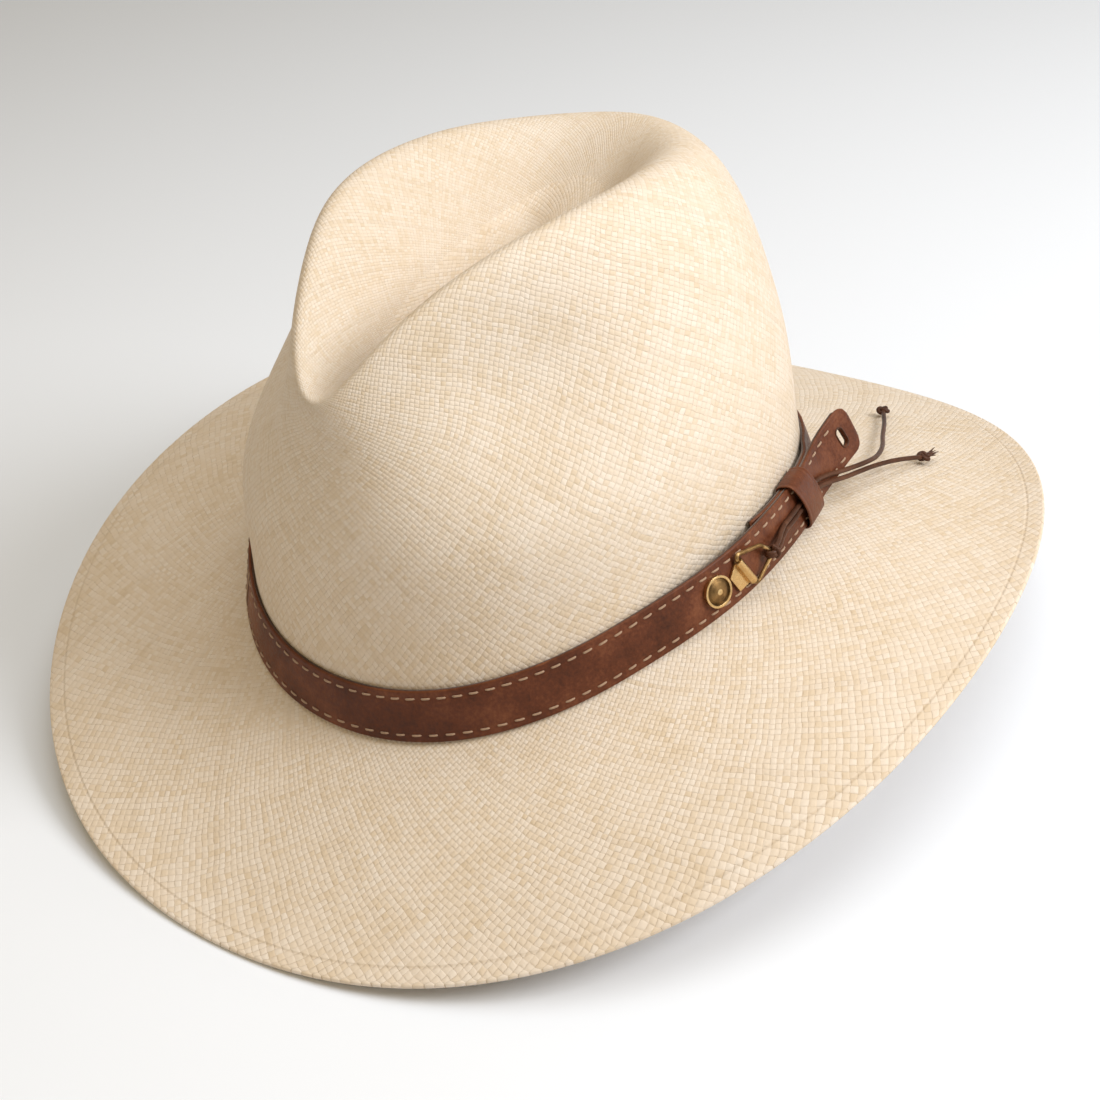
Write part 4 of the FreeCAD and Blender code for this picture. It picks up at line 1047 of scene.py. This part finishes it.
def keeper_course():
    """Middle line of the keeper's wall in its section: outward and askew, round corners."""
    wall = KEEPER_WALL / 2
    low, side = KEEPER_GAP + wall, KEEPER_HALF + wall
    high = KEEPER_EDGE + wall
    inset = side - KEEPER_CORNER
    outer, inner = high - KEEPER_CORNER + 0.25, low + KEEPER_CORNER
    centre = high - math.sqrt(KEEPER_BOW ** 2 - side ** 2)
    points = []
    for y in np.linspace(-inset, inset, 30):
        points.append((centre + math.sqrt(KEEPER_BOW ** 2 - y ** 2), y))
    points += corner_points(outer, inset, 0) + corner_points(inner, inset, math.pi / 2)
    points += [(low, y) for y in np.linspace(inset, -inset, 20)[1:-1]]
    points += corner_points(inner, -inset, math.pi) + corner_points(outer, -inset, 1.5 * math.pi)
    line = np.array(points + points[:1])
    travel = np.concatenate([[0], np.cumsum(np.linalg.norm(np.diff(line, axis=0), axis=1))])
    even = np.linspace(0, travel[-1], KEEPER_STEPS, endpoint=False)
    course = np.stack([np.interp(even, travel, line[:, k]) for k in (0, 1)], axis=1)
    for _ in range(2):
        course = (np.roll(course, 1, 0) + 2 * course + np.roll(course, -1, 0)) / 4
    return course


def keeper_mesh():
    here, along, up, outward = strap_frame(KEEPER_PATH, -LAP_STAND)
    askew = up * math.cos(KEEPER_SKEW) - along * math.sin(KEEPER_SKEW)
    course = keeper_course()
    heading = np.roll(course, -1, 0) - np.roll(course, 1, 0)
    normals = np.stack([heading[:, 1], -heading[:, 0]], axis=1)
    normals /= np.linalg.norm(normals, axis=1, keepdims=True)
    half = KEEPER_LENGTH / 2
    wall = KEEPER_WALL / 2 - 0.02
    profile = []
    for z in np.linspace(-half + 0.35, half - 0.35, 27):
        crease = 0.13 * math.exp(-((abs(z) - (half - 1.5)) / 0.32) ** 2)
        profile.append((z, wall - crease + 0.06 * math.cos(z / half * math.pi / 2)))
    lip = [(half - 0.35 + 0.35 * math.sin(a), wall * math.cos(a))
           for a in np.linspace(0.35, math.pi - 0.35, 7)]
    profile += lip
    profile += [(z, -wall) for z in np.linspace(half - 0.4, -half + 0.4, 9)]
    profile += [(-z, -n) for z, n in lip]
    points, uvs = [], []
    for k, (place, normal) in enumerate(zip(course, normals)):
        for z, n in profile:
            x, y = place + normal * n
            points.append(here + outward * x + askew * y + along * z)
            uvs.append((k / len(course), z / KEEPER_LENGTH))
    piece = add_mesh("keeper", points, ring_faces(len(course), len(profile), closed_run=True),
                     "keeper")
    face_outwards(piece)
    set_uv(piece, uvs)
    return piece


keeper = keeper_mesh()
wear(keeper, KEEPER_LEATHER)
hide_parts("keeper_loop")


# ---- clasp
for node in ("clasp_boss", "clasp_tongue", "clasp_burr", "clasp_loop"):
    dress_node(node, BRASS)

BAR_SLANT = (-0.366, 0.931)
LOOP_TILT = math.radians(2.0)
TONGUE_REST, KNUCKLE_RADIUS = 0.15, 1.35
HITCH_AT = (10.55, -5.05)
WRAP_TURNS, WRAP_STEPS, WRAP_REACH, WRAP_RISE = 2.5, 34, 1.5, 2.1
WRAP_RADIUS, BRIDGE_RADIUS = 0.74, 0.70
BRIDGE = ((0.5, -1.9, 1.0), (0.9, -1.2, 2.0), (1.1, 0.0, 2.3), (0.9, 1.2, 2.0), (0.5, 1.9, 1.0))


def loop_frame():
    here, along, up, outward = strap_frame(BAR_PATH)
    bar = unit(along * BAR_SLANT[0] + up * BAR_SLANT[1])
    across = unit(np.cross(bar, outward))
    lifted = across * math.cos(LOOP_TILT) + outward * math.sin(LOOP_TILT)
    return here + outward * (TONGUE_REST + KNUCKLE_RADIUS), lifted, bar, np.cross(lifted, bar)


def hitch_piece():
    """The lace wraps twice about the loop's far corner, with a strand across the turns."""
    centre, across, bar, outward = loop_frame()
    _, along, up, _ = strap_frame(BAR_PATH)
    middle = centre + across * HITCH_AT[0] + bar * HITCH_AT[1]
    points = []
    for k in range(WRAP_STEPS + 1):
        t = k / WRAP_STEPS
        angle = 2 * math.pi * WRAP_TURNS * t - math.pi / 2
        points.append(middle + up * (WRAP_RISE * (t - 0.5)) + along * (WRAP_REACH * math.cos(angle))
                      + outward * (WRAP_REACH * math.sin(angle)))
    wrap = curve_piece("lace_wraps", points, WRAP_RADIUS, body="loop")
    bridge = [middle + along * a + up * b + outward * c for a, b, c in BRIDGE]
    over = curve_piece("lace_bridge", bridge, BRIDGE_RADIUS, body="loop")
    for piece in (wrap, over):
        wear(piece, LACE_LEATHER)
    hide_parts("lace_hitch")


hitch_piece()


def to_mesh_piece(piece):
    """The same piece as a mesh that rides on nothing yet."""
    name = piece.name
    graph = bpy.context.evaluated_depsgraph_get()
    data = bpy.data.meshes.new_from_object(piece.evaluated_get(graph))
    bpy.data.objects.remove(piece)
    made = new_object(name, data)
    return made


def lead_pieces():
    """The lace's first stretch, from the loop to the band, as plain mesh pieces."""
    for name, route in (("lace_lead_upper", LEAD_UPPER), ("lace_lead_lower", LEAD_LOWER)):
        first = Vector(route[0]) - (Vector(route[1]) - Vector(route[0])) * 0.4
        tail = Vector(route[-1]) + (Vector(route[-1]) - Vector(route[-2])) * 0.12
        piece = curve_piece(name, [tuple(first)] + route[:-1] + [tuple(tail)], LACE_RADIUS)
        piece = to_mesh_piece(piece)
        wear(piece, LACE_LEATHER)
        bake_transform(piece)
    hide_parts("lace_lead")


lead_pieces()


# ---- floor, light and world
FLOOR_HALF = 3.0
# painted shade: the floor darkens from its near colour to its far colour towards the back and left, where
# less light falls
FLOOR_NEAR, FLOOR_FAR_SHADED = (0.84, 0.88, 0.95, 1), (0.73, 0.77, 0.84, 1)
FLOOR_SHADE_FROM, FLOOR_SHADE_TO = -0.30, 0.80      # metres from the hat, towards the back and left


def make_floor():
    data = bpy.data.meshes.new("floor")
    h = FLOOR_HALF
    data.from_pydata([(-h, -h, 0), (h, -h, 0), (h, h, 0), (-h, h, 0)], [], [(0, 1, 2, 3)])
    floor = new_object("floor", data)
    s = Shader("floor")
    backward = Vector((view_up.x, view_up.y, 0)).normalized()
    away = backward * 0.94 - Vector((view_right.x, view_right.y, 0)) * 0.34
    along = s.node("ShaderNodeVectorMath", operation="DOT_PRODUCT")
    s.feed(along.inputs[0], s.place())
    along.inputs[1].default_value = away
    # painted shade: the floor's colour darkens towards the back and left, where less light falls
    far = s.step(along.outputs["Value"], FLOOR_SHADE_FROM, FLOOR_SHADE_TO)
    s.finish(Base_Color=s.mix(far, FLOOR_NEAR, FLOOR_FAR_SHADED), Roughness=0.9, Specular_IOR_Level=0.1)
    data.materials.append(s.material)


make_floor()


def area_light(name, right, up, back, size, power, colour):
    """Area light placed by the camera's own directions, aimed at the hat."""
    data = bpy.data.lights.new(name, "AREA")
    data.shape = "DISK"
    data.size = size
    data.energy = power
    data.color = colour
    lamp = new_object(name, data)
    place = view_right * right + view_up * up + view_back * back
    lamp.location = place + Vector((0, 0, 0.08))
    lamp.rotation_euler = place.to_track_quat("Z", "Y").to_euler()


area_light("key", 1.02, 0.58, 0.86, 0.7, 17.0, (0.985, 0.99, 1.0))
area_light("top", 0.15, 1.15, 0.65, 1.2, 8.0, (0.94, 0.97, 1.0))
area_light("warm", -0.9, 0.4, 0.8, 1.2, 1.6, (1.0, 0.70, 0.30))

world = bpy.data.worlds.new("studio")
world.use_nodes = True
background = world.node_tree.nodes["Background"]
background.inputs["Color"].default_value = (1.0, 0.86, 0.64, 1)
background.inputs["Strength"].default_value = 0.38
bpy.context.scene.world = world
bpy.context.scene.view_settings.view_transform = "Standard"
